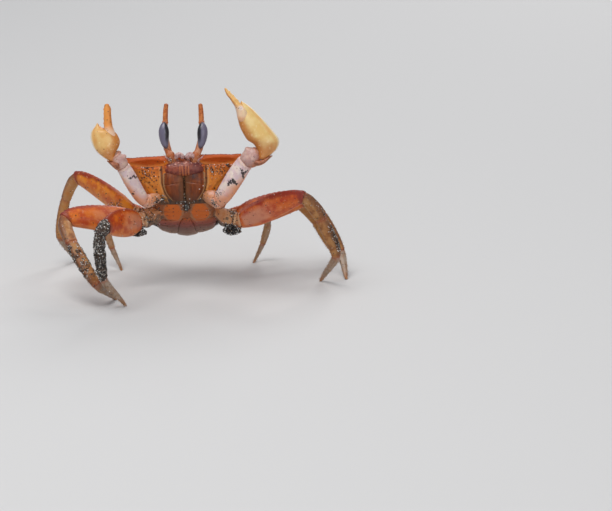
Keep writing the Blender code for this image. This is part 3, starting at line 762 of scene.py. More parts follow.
def merus_finish_of(name, glow, seed):
    """Red-orange blades, dark red by the knee and upper edge, mauve near the body, painted amber as glow
    grows.
    """
    material, where = new_finish(name, Coat_Weight=0.15, Coat_Roughness=0.18, **SHELL)
    along, outer = kept(where, "along"), kept(where, "outer")
    cloud = patches(where, 3.2, seed, 3.0)
    # Painted glow: glow turns the blade amber, as where light shines through its thin shell.
    warm = tuple(a + (b - a) * glow for a, b in zip((0.66, 0.145, 0.012), (0.76, 0.25, 0.012)))
    deep = tuple(a + (b - a) * glow for a, b in zip((0.45, 0.042, 0.006), (0.58, 0.11, 0.008)))
    colour = mixed(between(cloud, 0.35, 0.65), rgb(*warm), rgb(*deep))
    bloom = between(outer, 0.95, 0.45) * between(outer, -0.8, -0.25)
    mauve = between(along + (cloud - 0.5) * 0.5, 0.62, 0.30) * between(along, 0.02, 0.10) * bloom
    colour = mixed(mauve * (0.65 - 0.55 * glow), colour, rgb(0.62, 0.29, 0.18))
    dark_edge = between(outer + along * 0.45 + (cloud - 0.5) * 0.4, 0.95, 1.25)
    colour = mixed(dark_edge * 0.85, colour, rgb(0.26, 0.020, 0.008))
    colour = mixed(between(along + (cloud - 0.5) * 0.1, 0.84, 0.97) * 0.80, colour, rgb(0.22, 0.028, 0.018))
    # Painted highlight: a pale line along the upper edge near the body, where light catches the ridge.
    edge_highlight = between(outer, 0.90, 0.985) * between(along, 0.62, 0.25)
    colour = mixed(edge_highlight * 0.3, colour, rgb(0.66, 0.36, 0.30))
    colour = mixed(between(outer, -0.72, -0.97) * 0.45, colour, rgb(0.68, 0.30, 0.12))
    streak = patches(where, 0.8, seed + 3.0, 1.0)
    colour = mixed(between(streak, 0.60, 0.72) * 0.35, colour, rgb(0.72, 0.36, 0.20))
    colour = mixed(specks(where, 1.5, 0.30, 0.30, seed) * 0.85, colour, rgb(0.060, 0.020, 0.014))
    colour = mixed(specks(where, 0.9, 0.15, 0.22, seed + 2.0) * 0.8, colour, rgb(0.10, 0.03, 0.02))
    put_finish(material, colour, 0.30 + cloud * 0.22, pimples_of(where, 0.45), 0.035)
    return material


def shin_finish_of(name, red, seed, dark=0.0, grey=0.0, sanded=0.0):
    """Ochre, horn-like shins, browner outside; red is how ruddy their ends are.

    dark and grey add patches of those shades, and sanded darkens what grains cover, each from 0 to 1.
    """
    material, where = new_finish(name, Coat_Weight=0.12, Coat_Roughness=0.2, **SHELL)
    along, outer = kept(where, "along"), kept(where, "outer")
    cloud = patches(where, 2.4, seed, 3.0)
    colour = mixed(between(cloud, 0.35, 0.68), rgb(0.46, 0.175, 0.035), rgb(0.44, 0.215, 0.075))
    colour = mixed(between(cloud, 0.60, 0.38) * dark, colour, rgb(0.20, 0.065, 0.020))
    colour = mixed(between(outer + (cloud - 0.5) * 0.7, 0.15, 0.90) * 0.80, colour, rgb(0.16, 0.055, 0.024))
    colour = mixed(between(outer, -0.45, -0.95) * 0.35, colour, rgb(0.58, 0.30, 0.09))
    colour = mixed(between(cloud, 0.1, 0.6) * grey, colour, rgb(0.34, 0.25, 0.18))
    ends = between(along, 0.12, 0.0) + between(along, 0.88, 1.0)
    colour = mixed(ends * (0.35 + 0.4 * red), colour, rgb(0.36, 0.085, 0.035))
    colour = mixed(between(patches(where, 1.0, seed + 5.0, 2.0), 0.60, 0.70) * 0.4, colour,
                   rgb(0.66, 0.45, 0.26))
    colour = mixed(specks(where, 1.0, 0.24, 0.42, seed) * between(outer, -0.3, 0.5) * 0.9, colour,
                   rgb(0.045, 0.028, 0.022))
    if sanded:
        coat = between(patches(where, 1.8, seed + 9.0, 3.0), 0.62 - 0.45 * sanded, 0.70 - 0.45 * sanded)
        colour = mixed(coat * 0.9, colour, rgb(0.034, 0.028, 0.025))
        colour = mixed(specks(where, 0.5, 0.17, 0.22, 7.0) * coat, colour, rgb(0.50, 0.46, 0.41))
    put_finish(material, colour, 0.36 + cloud * 0.25, pimples_of(where, 0.4), 0.035)
    return material


def dactyl_finish_of(name, seed):
    """Toes: ochre flutes that darken to an orange-brown horny tip."""
    material, where = new_finish(name, Coat_Weight=0.25, Coat_Roughness=0.28, **SHELL)
    along = kept(where, "along")
    cloud = patches(where, 1.8, seed, 3.0)
    colour = mixed(between(cloud, 0.35, 0.65), rgb(0.30, 0.17, 0.090), rgb(0.38, 0.28, 0.21))
    colour = mixed(between(along + (cloud - 0.5) * 0.3, 0.15, 0.0) * 0.6, colour, rgb(0.38, 0.10, 0.04))
    colour = mixed(between(along + (cloud - 0.5) * 0.3, 0.55, 1.0) * 0.75, colour, rgb(0.42, 0.15, 0.035))
    colour = mixed(specks(where, 0.9, 0.2, 0.35, seed) * 0.9, colour, rgb(0.05, 0.03, 0.022))
    put_finish(material, colour, 0.34 + cloud * 0.2, patches(where, 0.5, seed), 0.03)
    return material


base_finish = base_finish_of("base_shell")
# glow is how much each blade is painted amber as if lit through, most on the hind legs.
merus_finishes = {leg: merus_finish_of(f"merus_shell_{leg}", glow, seed) for leg, glow, seed in (
    ("leg2_left", -0.1, 1.0), ("leg2_right", 0.10, 2.0), ("leg3_left", 0.15, 3.0), ("leg3_right", 0.20, 4.0),
    ("leg4_left", 0.6, 5.0), ("leg4_right", 1.0, 6.0), ("leg5_left", 0.5, 7.0), ("leg5_right", 0.5, 8.0))}
brown_shin = shin_finish_of("shin_shell", 0.5, 2.0, dark=0.8)
far_shin = shin_finish_of("far_shin_shell", 0.3, 6.0, dark=0.3, grey=0.5)
amber_shin = shin_finish_of("amber_shin_shell", 0.1, 5.0)
sanded_shin = shin_finish_of("sanded_shin_shell", 0.4, 8.0, sanded=0.8)
shin_finishes = {"leg2_left": brown_shin, "leg2_right": sanded_shin, "leg3_left": brown_shin,
                 "leg3_right": brown_shin, "leg4_left": amber_shin, "leg4_right": amber_shin,
                 "leg5_left": far_shin, "leg5_right": far_shin}
dactyl_finish = dactyl_finish_of("dactyl_shell", 4.0)

skin_finish, where = new_finish("joint_skin", Coat_Weight=0.3, Coat_Roughness=0.3, **SHELL)
cloud = patches(where, 0.8, 1.0, 3.0)
colour = mixed(between(cloud, 0.35, 0.65), rgb(0.34, 0.12, 0.07), rgb(0.50, 0.27, 0.18))
colour = mixed(between(patches(where, 0.5, 4.0), 0.55, 0.65) * 0.6, colour, rgb(0.10, 0.05, 0.04))
put_finish(skin_finish, colour, 0.45 + cloud * 0.2, patches(where, 0.25, 6.0), 0.05)


leg_shells = {}
leg_rings = {}
for leg in shin_finishes:
    joints, rings = limb_rings(leg, LEG_PARTS, {"merus": MERUS_SIDES})
    foot = merged_points(f"{leg}_dactyl")
    foot = foot[foot[:, 2] < 0.05].mean(0)
    hip, knee = joints[0], joints[1]
    flat = np.cross(knee - hip, foot - knee)
    flat /= np.linalg.norm(flat) * (-1.0 if flat[1] > 0 else 1.0)
    outer = knee - (hip + foot) / 2
    finishes = {"base": base_finish, "merus": merus_finishes[leg], "carpus": shin_finishes[leg],
                "propodus": shin_finishes[leg], "dactyl": dactyl_finish}
    for part in LEG_PARTS:
        shape, rows, sides = LEG_SHAPES[part]
        shell = limb_shell(f"{leg}_{part}_shell", rings[part], flat, outer, rows, sides, shape,
                           bulb=0.5 if part == "base" else 0.9, tip=0.15 if part == "dactyl" else None)
        settle(shell, finishes[part], "leg_red" if part == "merus" else "leg_tan", f"{leg}_{part}")
        leg_shells[leg, part] = shell
    settle(skins_of(leg, LEG_PARTS, joints, rings, flat), skin_finish, "joint_skin")
    leg_rings[leg] = rings


# ---- Claw arms ----
# The arms that carry the claws: a base at the trunk, a three-edged merus with beaded edges, a knuckle-like
# carpus with a brown lobe on its outer side, a flat hand with a fixed finger, and a finger hinged on it.
# Their shell is thick and porcelain-like; one claw has grown larger than the other.

ARM_PARTS = ("base", "merus", "carpus", "hand")
CLAW_LEAN = math.radians(15.0)  # how far the claws lean back
CLAW_UP = np.array((0.0, math.sin(CLAW_LEAN), math.cos(CLAW_LEAN)))
CLAW_FRONT = np.array((0.0, -math.cos(CLAW_LEAN), math.sin(CLAW_LEAN)))
WRISTS = {"claw_left": place(27.2, -23.4, 54.0), "claw_right": place(-24.1, -23.0, 52.6)}

# Both edges of each flat piece from its root to its tip, out to the side and up from the wrist, and then
# how thick it is from one to the other.
HANDS = {
    "claw_left": (
        ((0.1, -2.2), (-0.2, 0.5), (-1.4, 2.9), (-3.6, 4.4), (-5.2, 6.8), (-6.4, 9.3), (-7.0, 11.8),
         (-6.9, 13.9), (-6.6, 15.7), (-6.4, 17.2), (-6.1, 18.2)),
        ((3.8, -1.6), (6.4, 0.9), (7.4, 3.2), (7.1, 5.1), (5.7, 7.0), (3.9, 9.2), (1.8, 11.6),
         (-0.2, 13.8), (-2.0, 15.6), (-3.9, 17.1), (-5.6, 18.2)),
        (3.6, 5.4, 6.6, 7.0, 6.8, 6.0, 5.0, 4.2, 3.2, 2.2, 1.2)),
    "claw_right": (
        ((0.3, -1.3), (0.3, 1.2), (1.2, 3.2), (1.6, 5.0), (1.1, 6.8), (-0.4, 8.8), (-4.0, 10.0),
         (-5.3, 10.6), (-6.1, 11.5)),
        ((-2.4, -1.6), (-4.5, -0.2), (-6.6, 1.8), (-7.8, 3.9), (-8.5, 6.3), (-8.4, 8.4), (-7.8, 9.7),
         (-7.1, 10.6), (-6.6, 11.5)),
        (3.0, 4.2, 5.2, 5.4, 5.2, 4.6, 2.8, 2.0, 1.1))}
FINGERS = {
    "claw_left": (
        ((-7.3, 12.0), (-7.6, 14.1), (-8.2, 16.2), (-9.1, 17.7), (-10.0, 19.1), (-11.0, 20.3),
         (-11.7, 21.7), (-12.0, 22.6)),
        ((-3.7, 11.6), (-3.6, 13.9), (-4.5, 15.7), (-6.0, 17.2), (-7.4, 18.9), (-9.0, 20.6),
         (-10.5, 22.0), (-11.3, 22.9)),
        (3.4, 3.6, 3.2, 2.8, 2.4, 1.9, 1.3, 0.8)),
    "claw_right": (
        ((0.9, 5.9), (0.3, 7.7), (-0.8, 10.4), (-1.2, 12.7), (-1.4, 14.9), (-1.5, 17.0), (-2.2, 18.4)),
        ((-3.4, 6.1), (-3.7, 8.2), (-3.9, 10.4), (-4.0, 12.5), (-4.0, 14.7), (-4.0, 16.8), (-3.7, 18.3)),
        (3.2, 3.4, 3.0, 2.7, 2.4, 2.1, 1.5))}
LOBES = {
    "claw_left": (
        ((-0.9, -2.7), (0.7, -2.9), (2.3, -2.3), (3.8, -1.4), (4.8, -1.1)),
        ((-0.7, -4.9), (0.7, -4.7), (2.5, -3.8), (3.9, -2.5), (4.9, -1.6)),
        (3.4, 3.6, 3.0, 2.2, 1.0)),
    "claw_right": (
        ((1.2, -2.2), (-0.2, -2.4), (-1.5, -2.1), (-2.4, -1.7)),
        ((1.2, -5.0), (-0.5, -4.2), (-1.7, -3.1), (-2.7, -2.1)),
        (3.2, 3.2, 2.4, 1.0))}


def flat_rings(one, other, thickness):
    """Oval rings between two edges that run side by side."""
    one, other = np.array(one), np.array(other)
    turns = np.linspace(0.0, 2 * np.pi, 12, endpoint=False)
    rings = []
    for a, b, run, thick in zip(one, other, np.gradient((one + other) / 2, axis=0), thickness):
        deep = np.cross(a - b, run)
        deep *= thick / 2 / np.linalg.norm(deep)
        rings.append((a + b) / 2 + np.outer(np.sin(turns), (a - b) / 2) + np.outer(np.cos(turns), deep))
    return rings


def claw_rings(arm, outline, forward=0.0):
    """Rings of a flat piece of a claw from its outline, moved forward by some millimetres."""
    wrist = np.array(WRISTS[arm]) / MM + CLAW_FRONT * forward
    edges = [[wrist + np.array((out, 0.0, 0.0)) + CLAW_UP * up for out, up in edge] for edge in outline[:2]]
    return flat_rings(*edges, outline[2])


def arm_base_shape(along, angle):
    """Slender base, seamed where its two segments have grown together."""
    lift = -0.14 * hump(along - 0.62, 0.03) + 0.08 * hump(along - 0.97, 0.03)
    return 1.0 + 0.05 * np.cos(2 * angle), lift


def arm_merus_shape(along, angle):
    """Three-edged bar with rows of beads along its edges."""
    middle = np.sin(np.pi * np.clip(along, 0.02, 0.98)) ** 0.4
    share = 1 - 0.06 * np.cos(3 * angle + math.pi / 2) * middle
    bead = np.abs(np.sin(along * 19 * np.pi))
    edges = edge_hump(angle, 90, 9) + edge_hump(angle, -28, 9) + edge_hump(angle, -150, 9)
    lift = 0.16 * edges * bead * middle
    lift += 0.15 * hump(along - 0.96, 0.03)
    return share, lift


def arm_carpus_shape(along, angle):
    """Knuckle, swollen outside, with a spine on its inner side."""
    lift = 0.30 * np.sin(np.pi * along) * edge_hump(angle, 90, 70)
    lift += 0.9 * hump(along - 0.62, 0.13) * edge_hump(angle, -75, 22)
    lift += 0.12 * np.abs(np.sin(along * 9 * np.pi)) * edge_hump(angle, 60, 16)
    lift += 0.10 * np.abs(np.sin(along * 8 * np.pi)) * edge_hump(angle, 10, 16)
    lift += 0.15 * hump(along - 0.95, 0.05)
    return np.ones_like(along), lift


def lobe_shape(along, angle):
    """Lobe with a thickened lower rim."""
    return np.ones_like(along), 0.14 * np.abs(np.cos(angle)) * np.sin(np.pi * along)


def hand_shape_of(finger_start, tooth_size):
    """Palm swollen on its outside, beaded along its lower edge, with teeth along the fixed finger."""
    def shape(along, angle):
        palm = step(along, 0.02, 0.22) * (1 - step(along, finger_start - 0.16, finger_start + 0.02))
        lift = 0.45 * palm * np.abs(np.cos(angle)) ** 1.5
        lift += 0.13 * np.abs(np.sin(along * 26 * np.pi)) * edge_hump(angle, 90, 9) * step(along, 0.08, 0.2)
        lift += 0.10 * edge_hump(angle, 62, 9) * palm - 0.08 * edge_hump(angle, 48, 8) * palm
        reach = step(along, finger_start, finger_start + 0.06) * (1 - step(along, 0.93, 1.0))
        tooth = np.clip(np.sin((along - finger_start) * 21 * np.pi), 0, 1) * (0.7 + 0.3 * np.sin(along * 23))
        lift += tooth_size * tooth * reach * edge_hump(angle, -90, 20)
        lift -= 0.10 * reach * (edge_hump(angle, 25, 12) + edge_hump(angle, 155, 12))
        return np.ones_like(along), lift
    return shape


def finger_shape_of(tooth_size):
    """Curved finger with teeth along its biting edge, a groove down its outside and a swollen hinge."""
    def shape(along, angle):
        reach = step(along, 0.34, 0.44) * (1 - step(along, 0.9, 1.0))
        tooth = np.clip(np.sin(along * 15 * np.pi), 0, 1) * (0.7 + 0.3 * np.sin(along * 17))
        lift = tooth_size * tooth * reach * edge_hump(angle, 90, 20)
        lift += 0.05 * np.abs(np.sin(along * 19 * np.pi)) * edge_hump(angle, -90, 12) * (1 - along)
        lift -= 0.10 * edge_hump(angle, 0, 14) * reach
        lift += 0.30 * hump(along - 0.22, 0.09) * edge_hump(angle, 20, 26)
        return np.ones_like(along), lift
    return shape


def paint_flecks(piece, *lines):
    """Marks dark stains along lines seen from the front, each a row of x, z in body millimetres."""
    places, normals = points_of(piece)
    x, z = (places[:, 0] - BODY.x) / MM, places[:, 2] / MM
    stain = sum((hump(line_distance(x, z, *line), 0.60) for line in lines), np.zeros(len(x)))
    paint(piece, "fleck", np.clip(stain, 0, 1) * step(normals @ CLAW_FRONT, 0.0, 0.3))


arm_base_finish, where = new_finish("arm_base_shell", Coat_Weight=0.15, Coat_Roughness=0.2, **SHELL)
along = kept(where, "along")
cloud = patches(where, 2.0, 4.0, 3.0)
colour = mixed(between(cloud, 0.36, 0.64), rgb(0.66, 0.27, 0.13), rgb(0.74, 0.44, 0.34))
colour = mixed(between(along + (cloud - 0.5) * 0.3, 0.50, 0.15) * 0.7, colour, rgb(0.52, 0.22, 0.09))
seam = between(along, 0.585, 0.61) * between(along, 0.655, 0.635)
colour = mixed(seam * 0.7, colour, rgb(0.16, 0.07, 0.04))
colour = mixed(specks(where, 0.9, 0.24, 0.45, 3.0) * 0.9, colour, rgb(0.045, 0.03, 0.022))
put_finish(arm_base_finish, colour, 0.38 + cloud * 0.25, pimples_of(where, 0.5), 0.04)

arm_finish, where = new_finish("arm_shell", Coat_Weight=0.2, Coat_Roughness=0.2, **SHELL)
along, outer = kept(where, "along"), kept(where, "outer")
cloud = patches(where, 2.4, 1.0, 3.0)
colour = mixed(between(cloud, 0.38, 0.62), rgb(0.72, 0.54, 0.55), rgb(0.84, 0.70, 0.62))
under = between(outer * 0.50 - along * 0.95 + (cloud - 0.5) * 0.7, -0.64, 0.05)
colour = mixed(under * 0.9, colour, rgb(0.74, 0.27, 0.11))
colour = mixed(between(along, 0.30, 0.02) * 0.7, colour, rgb(0.68, 0.32, 0.20))
colour = mixed(between(along, 0.90, 0.99) * 0.5, colour, rgb(0.66, 0.38, 0.28))
mottle = patches(where, 0.9, 14.0, 3.0)
colour = mixed(between(mottle, 0.56, 0.66) * 0.45, colour, rgb(0.50, 0.30, 0.30))
colour = mixed(specks(where, 1.5, 0.24, 0.22, 7.0) * 0.85, colour, rgb(0.05, 0.03, 0.03))
stain = between(kept(where, "fleck") + (patches(where, 0.42, 2.0, 3.0) - 0.5) * 2.6, 0.62, 0.78)
colour = mixed(stain * 0.95, colour, rgb(0.018, 0.012, 0.012))
put_finish(arm_finish, colour, 0.33 + cloud * 0.2, pimples_of(where, 0.5) - stain * 0.5, 0.035)

knuckle_finish, where = new_finish("knuckle_shell", Coat_Weight=0.2, Coat_Roughness=0.2, **SHELL)
along, outer = kept(where, "along"), kept(where, "outer")
cloud = patches(where, 1.8, 5.0, 3.0)
colour = mixed(between(cloud, 0.36, 0.64), rgb(0.48, 0.27, 0.24), rgb(0.64, 0.43, 0.36))
colour = mixed(between(outer + (cloud - 0.5) * 0.8, 0.25, 0.85) * 0.8, colour, rgb(0.44, 0.13, 0.045))
colour = mixed(between(along, 0.86, 0.97) * 0.6, colour, rgb(0.46, 0.16, 0.07))
colour = mixed(specks(where, 0.9, 0.18, 0.40, 3.0) * 0.8, colour, rgb(0.22, 0.07, 0.045))
put_finish(knuckle_finish, colour, 0.33 + cloud * 0.2, pimples_of(where, 0.5), 0.05)

lobe_finish, where = new_finish("knuckle_lobe", Coat_Weight=0.2, Coat_Roughness=0.2, **SHELL)
outer = kept(where, "outer")
cloud = patches(where, 1.2, 2.0, 3.0)
colour = mixed(between(cloud, 0.36, 0.64), rgb(0.24, 0.075, 0.035), rgb(0.42, 0.15, 0.07))
colour = mixed(between(outer, 0.78, 0.97) * 0.8, colour, rgb(0.72, 0.42, 0.24))
put_finish(lobe_finish, colour, 0.33 + cloud * 0.2, pimples_of(where, 0.4), 0.03)


def claw_finish_of(name, seed, speckled, deep):
    """Cream-yellow hands: orange towards the wrist and inner edge, a pale outer rim, and brown specks.

    speckled is the share of places with a speck, and deep, from 0 to 1, how much stronger the yellow is.
    """
    material, where = new_finish(name, Coat_Weight=0.2, Coat_Roughness=0.15, **SHELL)
    along, outer = kept(where, "along"), kept(where, "outer")
    cloud = patches(where, 3.0, seed, 3.0)
    colour = mixed(between(cloud, 0.38, 0.62), rgb(0.72, 0.47 - 0.08 * deep, 0.16 - 0.04 * deep),
                   rgb(0.76, 0.56 - 0.08 * deep, 0.24 - 0.06 * deep))
    wrist = between(along + (cloud - 0.5) * 0.30, 0.36, 0.08)
    colour = mixed(wrist * 0.85, colour, rgb(0.60, 0.22, 0.060))
    inner = between(outer + (cloud - 0.5) * 0.5, -0.15, -0.68)
    colour = mixed(inner * 0.9, colour, rgb(0.54, 0.18, 0.030))
    stripe = between(outer, 0.45, 0.72) * between(outer, 0.90, 0.74)
    colour = mixed(stripe * 0.45, colour, rgb(0.70, 0.30, 0.07))
    colour = mixed(between(outer, 0.80, 0.97) * 0.85, colour, rgb(0.92, 0.78, 0.58))
    colour = mixed(between(patches(where, 0.9, seed + 4.0), 0.60, 0.70) * 0.3, colour, rgb(0.86, 0.72, 0.46))
    colour = mixed(specks(where, 1.2, 0.22, speckled, seed) * 0.85, colour, rgb(0.20, 0.055, 0.022))
    put_finish(material, colour, 0.28 + cloud * 0.2, pimples_of(where, 0.6), 0.03)
    return material


def finger_finish_of(name, cream, edge, seed, speckled):
    """Movable fingers: orange along the biting edge, whitish over the hinge, with a ringed hinge knob."""
    material, where = new_finish(name, Coat_Weight=0.2, Coat_Roughness=0.15, **SHELL)
    along, outer = kept(where, "along"), kept(where, "outer")
    cloud = patches(where, 1.6, seed, 3.0)
    colour = mixed(between(cloud, 0.38, 0.62), rgb(*cream), rgb(*(min(1.0, 1.12 * part) for part in cream)))
    colour = mixed(between(outer + (cloud - 0.5) * 0.5, -0.1, -0.85) * 0.75, colour, rgb(*edge))
    root = between(along + (cloud - 0.5) * 0.15, 0.42, 0.20)
    colour = mixed(root * 0.65, colour, rgb(0.80, 0.62, 0.48))
    colour = mixed(between(along, 0.10, 0.0) * 0.5, colour, rgb(*edge))
    knob = kept(where, "hinge")
    colour = mixed(between(knob, 0.30, 0.70) * 0.7, colour, rgb(0.84, 0.74, 0.72))
    colour = mixed(between(knob, 0.68, 0.80) * between(knob, 0.95, 0.84) * 0.7, colour, rgb(0.34, 0.20, 0.18))
    colour = mixed(specks(where, 0.9, 0.22, speckled, seed) * 0.85, colour, rgb(0.18, 0.045, 0.02))
    put_finish(material, colour, 0.28 + cloud * 0.2, pimples_of(where, 0.5), 0.02)
    return material


hand_finishes = {"claw_left": claw_finish_of("major_claw_shell", 2.0, 0.10, 0.0),
                 "claw_right": claw_finish_of("minor_claw_shell", 6.0, 0.40, 1.0)}
finger_finishes = {
    "claw_left": finger_finish_of("major_finger_shell", (0.74, 0.43, 0.15), (0.62, 0.22, 0.05), 3.0, 0.08),
    "claw_right": finger_finish_of("minor_finger_shell", (0.68, 0.26, 0.055), (0.60, 0.19, 0.03), 7.0, 0.55)}

ARM_SHELLS = {  # each segment's shape, its rows and sides of faces, its finish and its record slot
    "base": (arm_base_shape, 48, 44, arm_base_finish, "leg_tan"),
    "merus": (arm_merus_shape, 130, 72, arm_finish, "arm_white"),
    "carpus": (arm_carpus_shape, 70, 52, knuckle_finish, "arm_white")}
FLECKS = {  # dark stains on the merus, each a line seen from the front
    "claw_left": (((21.0, 48.1), (22.2, 46.8), (23.4, 47.5)), ((21.6, 46.8), (22.0, 44.8)),
                  ((16.4, 42.1), (18.0, 44.2), (19.5, 42.4)), ((17.1, 43.0), (18.5, 43.2))),
    "claw_right": (((-18.8, 44.4), (-17.6, 45.1), (-16.8, 44.4)), ((-18.0, 38.2), (-17.8, 38.4)))}
# Where the fixed finger starts along the hand, how high its teeth are, and how far the other stands forward.
HAND_DETAILS = {"claw_left": (0.72, 0.40, 1.0), "claw_right": (0.76, 0.26, 0.7)}
LEFT_HINGE = (-6.1, 15.9)  # knob of the larger finger's hinge, out and up from the wrist
arm_shells = {}
for arm in ("claw_left", "claw_right"):
    side = 1.0 if arm.endswith("left") else -1.0
    joints, rings = limb_rings(arm, ARM_PARTS, {"hand": 10})
    outwards = np.array((side, 0.0, -0.35))
    for part, (shape, rows, sides, finish, slot) in ARM_SHELLS.items():
        shell = limb_shell(f"{arm}_{part}_shell", rings[part], CLAW_FRONT, outwards, rows, sides, shape,
                           bulb=0.6)
        settle(shell, finish, slot, f"{arm}_{part}")
        arm_shells[arm, part] = shell
    paint_flecks(arm_shells[arm, "merus"], *FLECKS[arm])
    lobe = limb_shell(f"{arm}_knuckle_lobe", claw_rings(arm, LOBES[arm], 0.6), CLAW_FRONT, (0.0, 0.0, -1.0),
                      60, 32, lobe_shape, bulb=0.6, tip=0.4)
    settle(lobe, lobe_finish, "arm_white")
    finger_start, tooth, forward = HAND_DETAILS[arm]
    hand = limb_shell(f"{arm}_hand_shell", claw_rings(arm, HANDS[arm]), CLAW_FRONT, outwards, 180, 72,
                      hand_shape_of(finger_start, tooth), bulb=0.8, tip=0.3)
    settle(hand, hand_finishes[arm], "claw_cream", f"{arm}_hand")
    finger = limb_shell(f"{arm}_finger_shell", claw_rings(arm, FINGERS[arm], forward), CLAW_FRONT,
                        np.array((side, 0.0, 0.35)), 130, 52, finger_shape_of(tooth * 0.8),
                        bulb=1.3, tip=0.35)
    knob_lift = CLAW_UP * LEFT_HINGE[1] + CLAW_FRONT * (forward + 1.8)
    knob = np.array(WRISTS[arm]) + (np.array((LEFT_HINGE[0], 0.0, 0.0)) + knob_lift) * MM
    away = np.linalg.norm(points_of(finger)[0] - knob, axis=1) / MM
    paint(finger, "hinge", hump(away, 1.0) * (arm == "claw_left"))
    settle(finger, finger_finishes[arm], "claw_cream", f"{arm}_finger")
    settle(skins_of(arm, ARM_PARTS, joints, rings, CLAW_FRONT), skin_finish, "joint_skin")


# ---- Eyes ----
# Each eye stands on a stalk that hinges beside the snout: a tall slate-coloured cornea wrapped round the
# stalk's front, and above it a blunt horn, which only grown ghost crabs of this kind carry.

# Middle lines of the left stalk and horn in the body's millimetres, and their radii along them.
STALK = ((3.6, -13.2, 47.2), (4.5, -13.6, 50.2), (5.8, -12.2, 53.0), (6.7, -10.6, 57.8), (6.65, -9.9, 62.4))
STALK_RADII = (1.75, 1.5, 1.3, 1.15, 0.95)
HORN = ((6.5, -9.9, 61.6), (6.5, -9.5, 63.6), (6.4, -8.9, 66.0), (6.2, -8.3, 68.0))
HORN_RADII = (0.92, 0.90, 0.86, 0.76)
CORNEA_HALF = (1.86, 1.70, 4.85)  # half its width, depth and height
EYE_LEAN = math.radians(15.0)  # back
EYE_SPREAD = math.radians(1.5)  # apart


def on_body(points):
    """Places in the model, in millimetres, of points in the body's own millimetres."""
    return np.array([place(*point) for point in points]) / MM


def tube(name, centres, radii, rows, sides, shape, start=0.5, tip=0.4):
    """Round limb along a path: a ball turned into a tube."""
    last = len(centres) - 1
    stops = np.linspace(0.0, 1.0, 3 * last + 1)
    centres = smooth_through(centres, stops)
    radii = smooth_through(np.array(radii)[:, None], stops)[:, 0]
    rings = []
    for centre, run, radius in zip(centres, np.gradient(centres, axis=0), radii):
        wide = np.cross(run, (0.0, 1.0, 0.2))
        wide /= np.linalg.norm(wide)
        deep = np.cross(wide, run)
        deep /= np.linalg.norm(deep)
        turns = np.linspace(0.0, 2 * np.pi, 12, endpoint=False)
        rings.append(centre + radius * (1.01 * np.outer(np.sin(turns), wide) + np.outer(np.cos(turns), deep)))
    return limb_shell(name, rings, np.array((0.0, -1.0, -0.2)), np.array((1.0, 0.0, 0.0)), rows, sides, shape,
                      bulb=start, tip=tip)


def stalk_shape(along, angle):
    """Stalk with a collar near its foot and a hollow behind the cornea."""
    lift = 0.16 * hump(along - 0.30, 0.05) - 0.14 * hump(along - 0.40, 0.06)
    return np.ones_like(along), lift


def horn_shape(along, angle):
    """Blunt horn with a collar at its foot and faint lengthwise ribs."""
    lift = 0.12 * hump(along - 0.04, 0.05) + 0.04 * np.cos(7 * angle + 6 * along) * (1 - along)
    return np.ones_like(along), lift


horn_finish, where = new_finish("horn_shell", **SHELL)
cloud = patches(where, 1.2, 2.0, 3.0)
colour = mixed(between(cloud, 0.35, 0.65), rgb(0.42, 0.100, 0.020), rgb(0.58, 0.20, 0.055))
colour = mixed(between(kept(where, "along") + patches(where, 0.8, 5.0) * 0.3, 0.95, 1.2) * 0.6, colour,
               rgb(0.30, 0.07, 0.02))
colour = mixed(specks(where, 0.7, 0.16, 0.4, 4.0) * 0.8, colour, rgb(0.07, 0.03, 0.02))
put_finish(horn_finish, colour, 0.34 + cloud * 0.2, pimples_of(where, 0.3), 0.03)

stalk_finish, where = new_finish("stalk_shell", **SHELL)
cloud = patches(where, 1.3, 1.0, 3.0)
colour = mixed(between(cloud, 0.40, 0.62), rgb(0.42, 0.115, 0.035), rgb(0.52, 0.23, 0.13))
colour = mixed(between(kept(where, "along"), 0.22, 0.05) * 0.6, colour, rgb(0.46, 0.14, 0.035))
colour = mixed(specks(where, 0.8, 0.20, 0.42, 6.0) * 0.9, colour, rgb(0.07, 0.03, 0.02))
put_finish(stalk_finish, colour, 0.34 + cloud * 0.2, pimples_of(where, 0.35), 0.03)

cornea_finish, where = new_finish("cornea", Coat_Weight=0.35, Coat_Roughness=0.08)
inner = kept(where, "inner")
cloud = patches(where, 1.4, 3.0, 3.0)
high = kept(where, "high")
band = between(inner + (cloud - 0.5) * 0.3, -0.22, 0.12) * between(high, -0.80, -0.10)
colour = mixed(band, rgb(0.135, 0.120, 0.180), rgb(0.012, 0.011, 0.016))
colour = mixed(between(cloud, 0.5, 0.8) * 0.4, colour, rgb(0.17, 0.15, 0.18))
colour = mixed(between(high, -0.72, -0.98) * 0.8, colour, rgb(0.07, 0.040, 0.040))
colour = mixed(between(high, 0.88, 1.0) * 0.6, colour, rgb(0.08, 0.05, 0.05))
facets = where.node("TexVoronoi", {"feature": "DISTANCE_TO_EDGE"}, {"Vector": where, "Scale": 9.0},
                    output="Distance")
put_finish(cornea_finish, colour, 0.28 + cloud * 0.1, between(facets, 0.0, 0.2), 0.006)

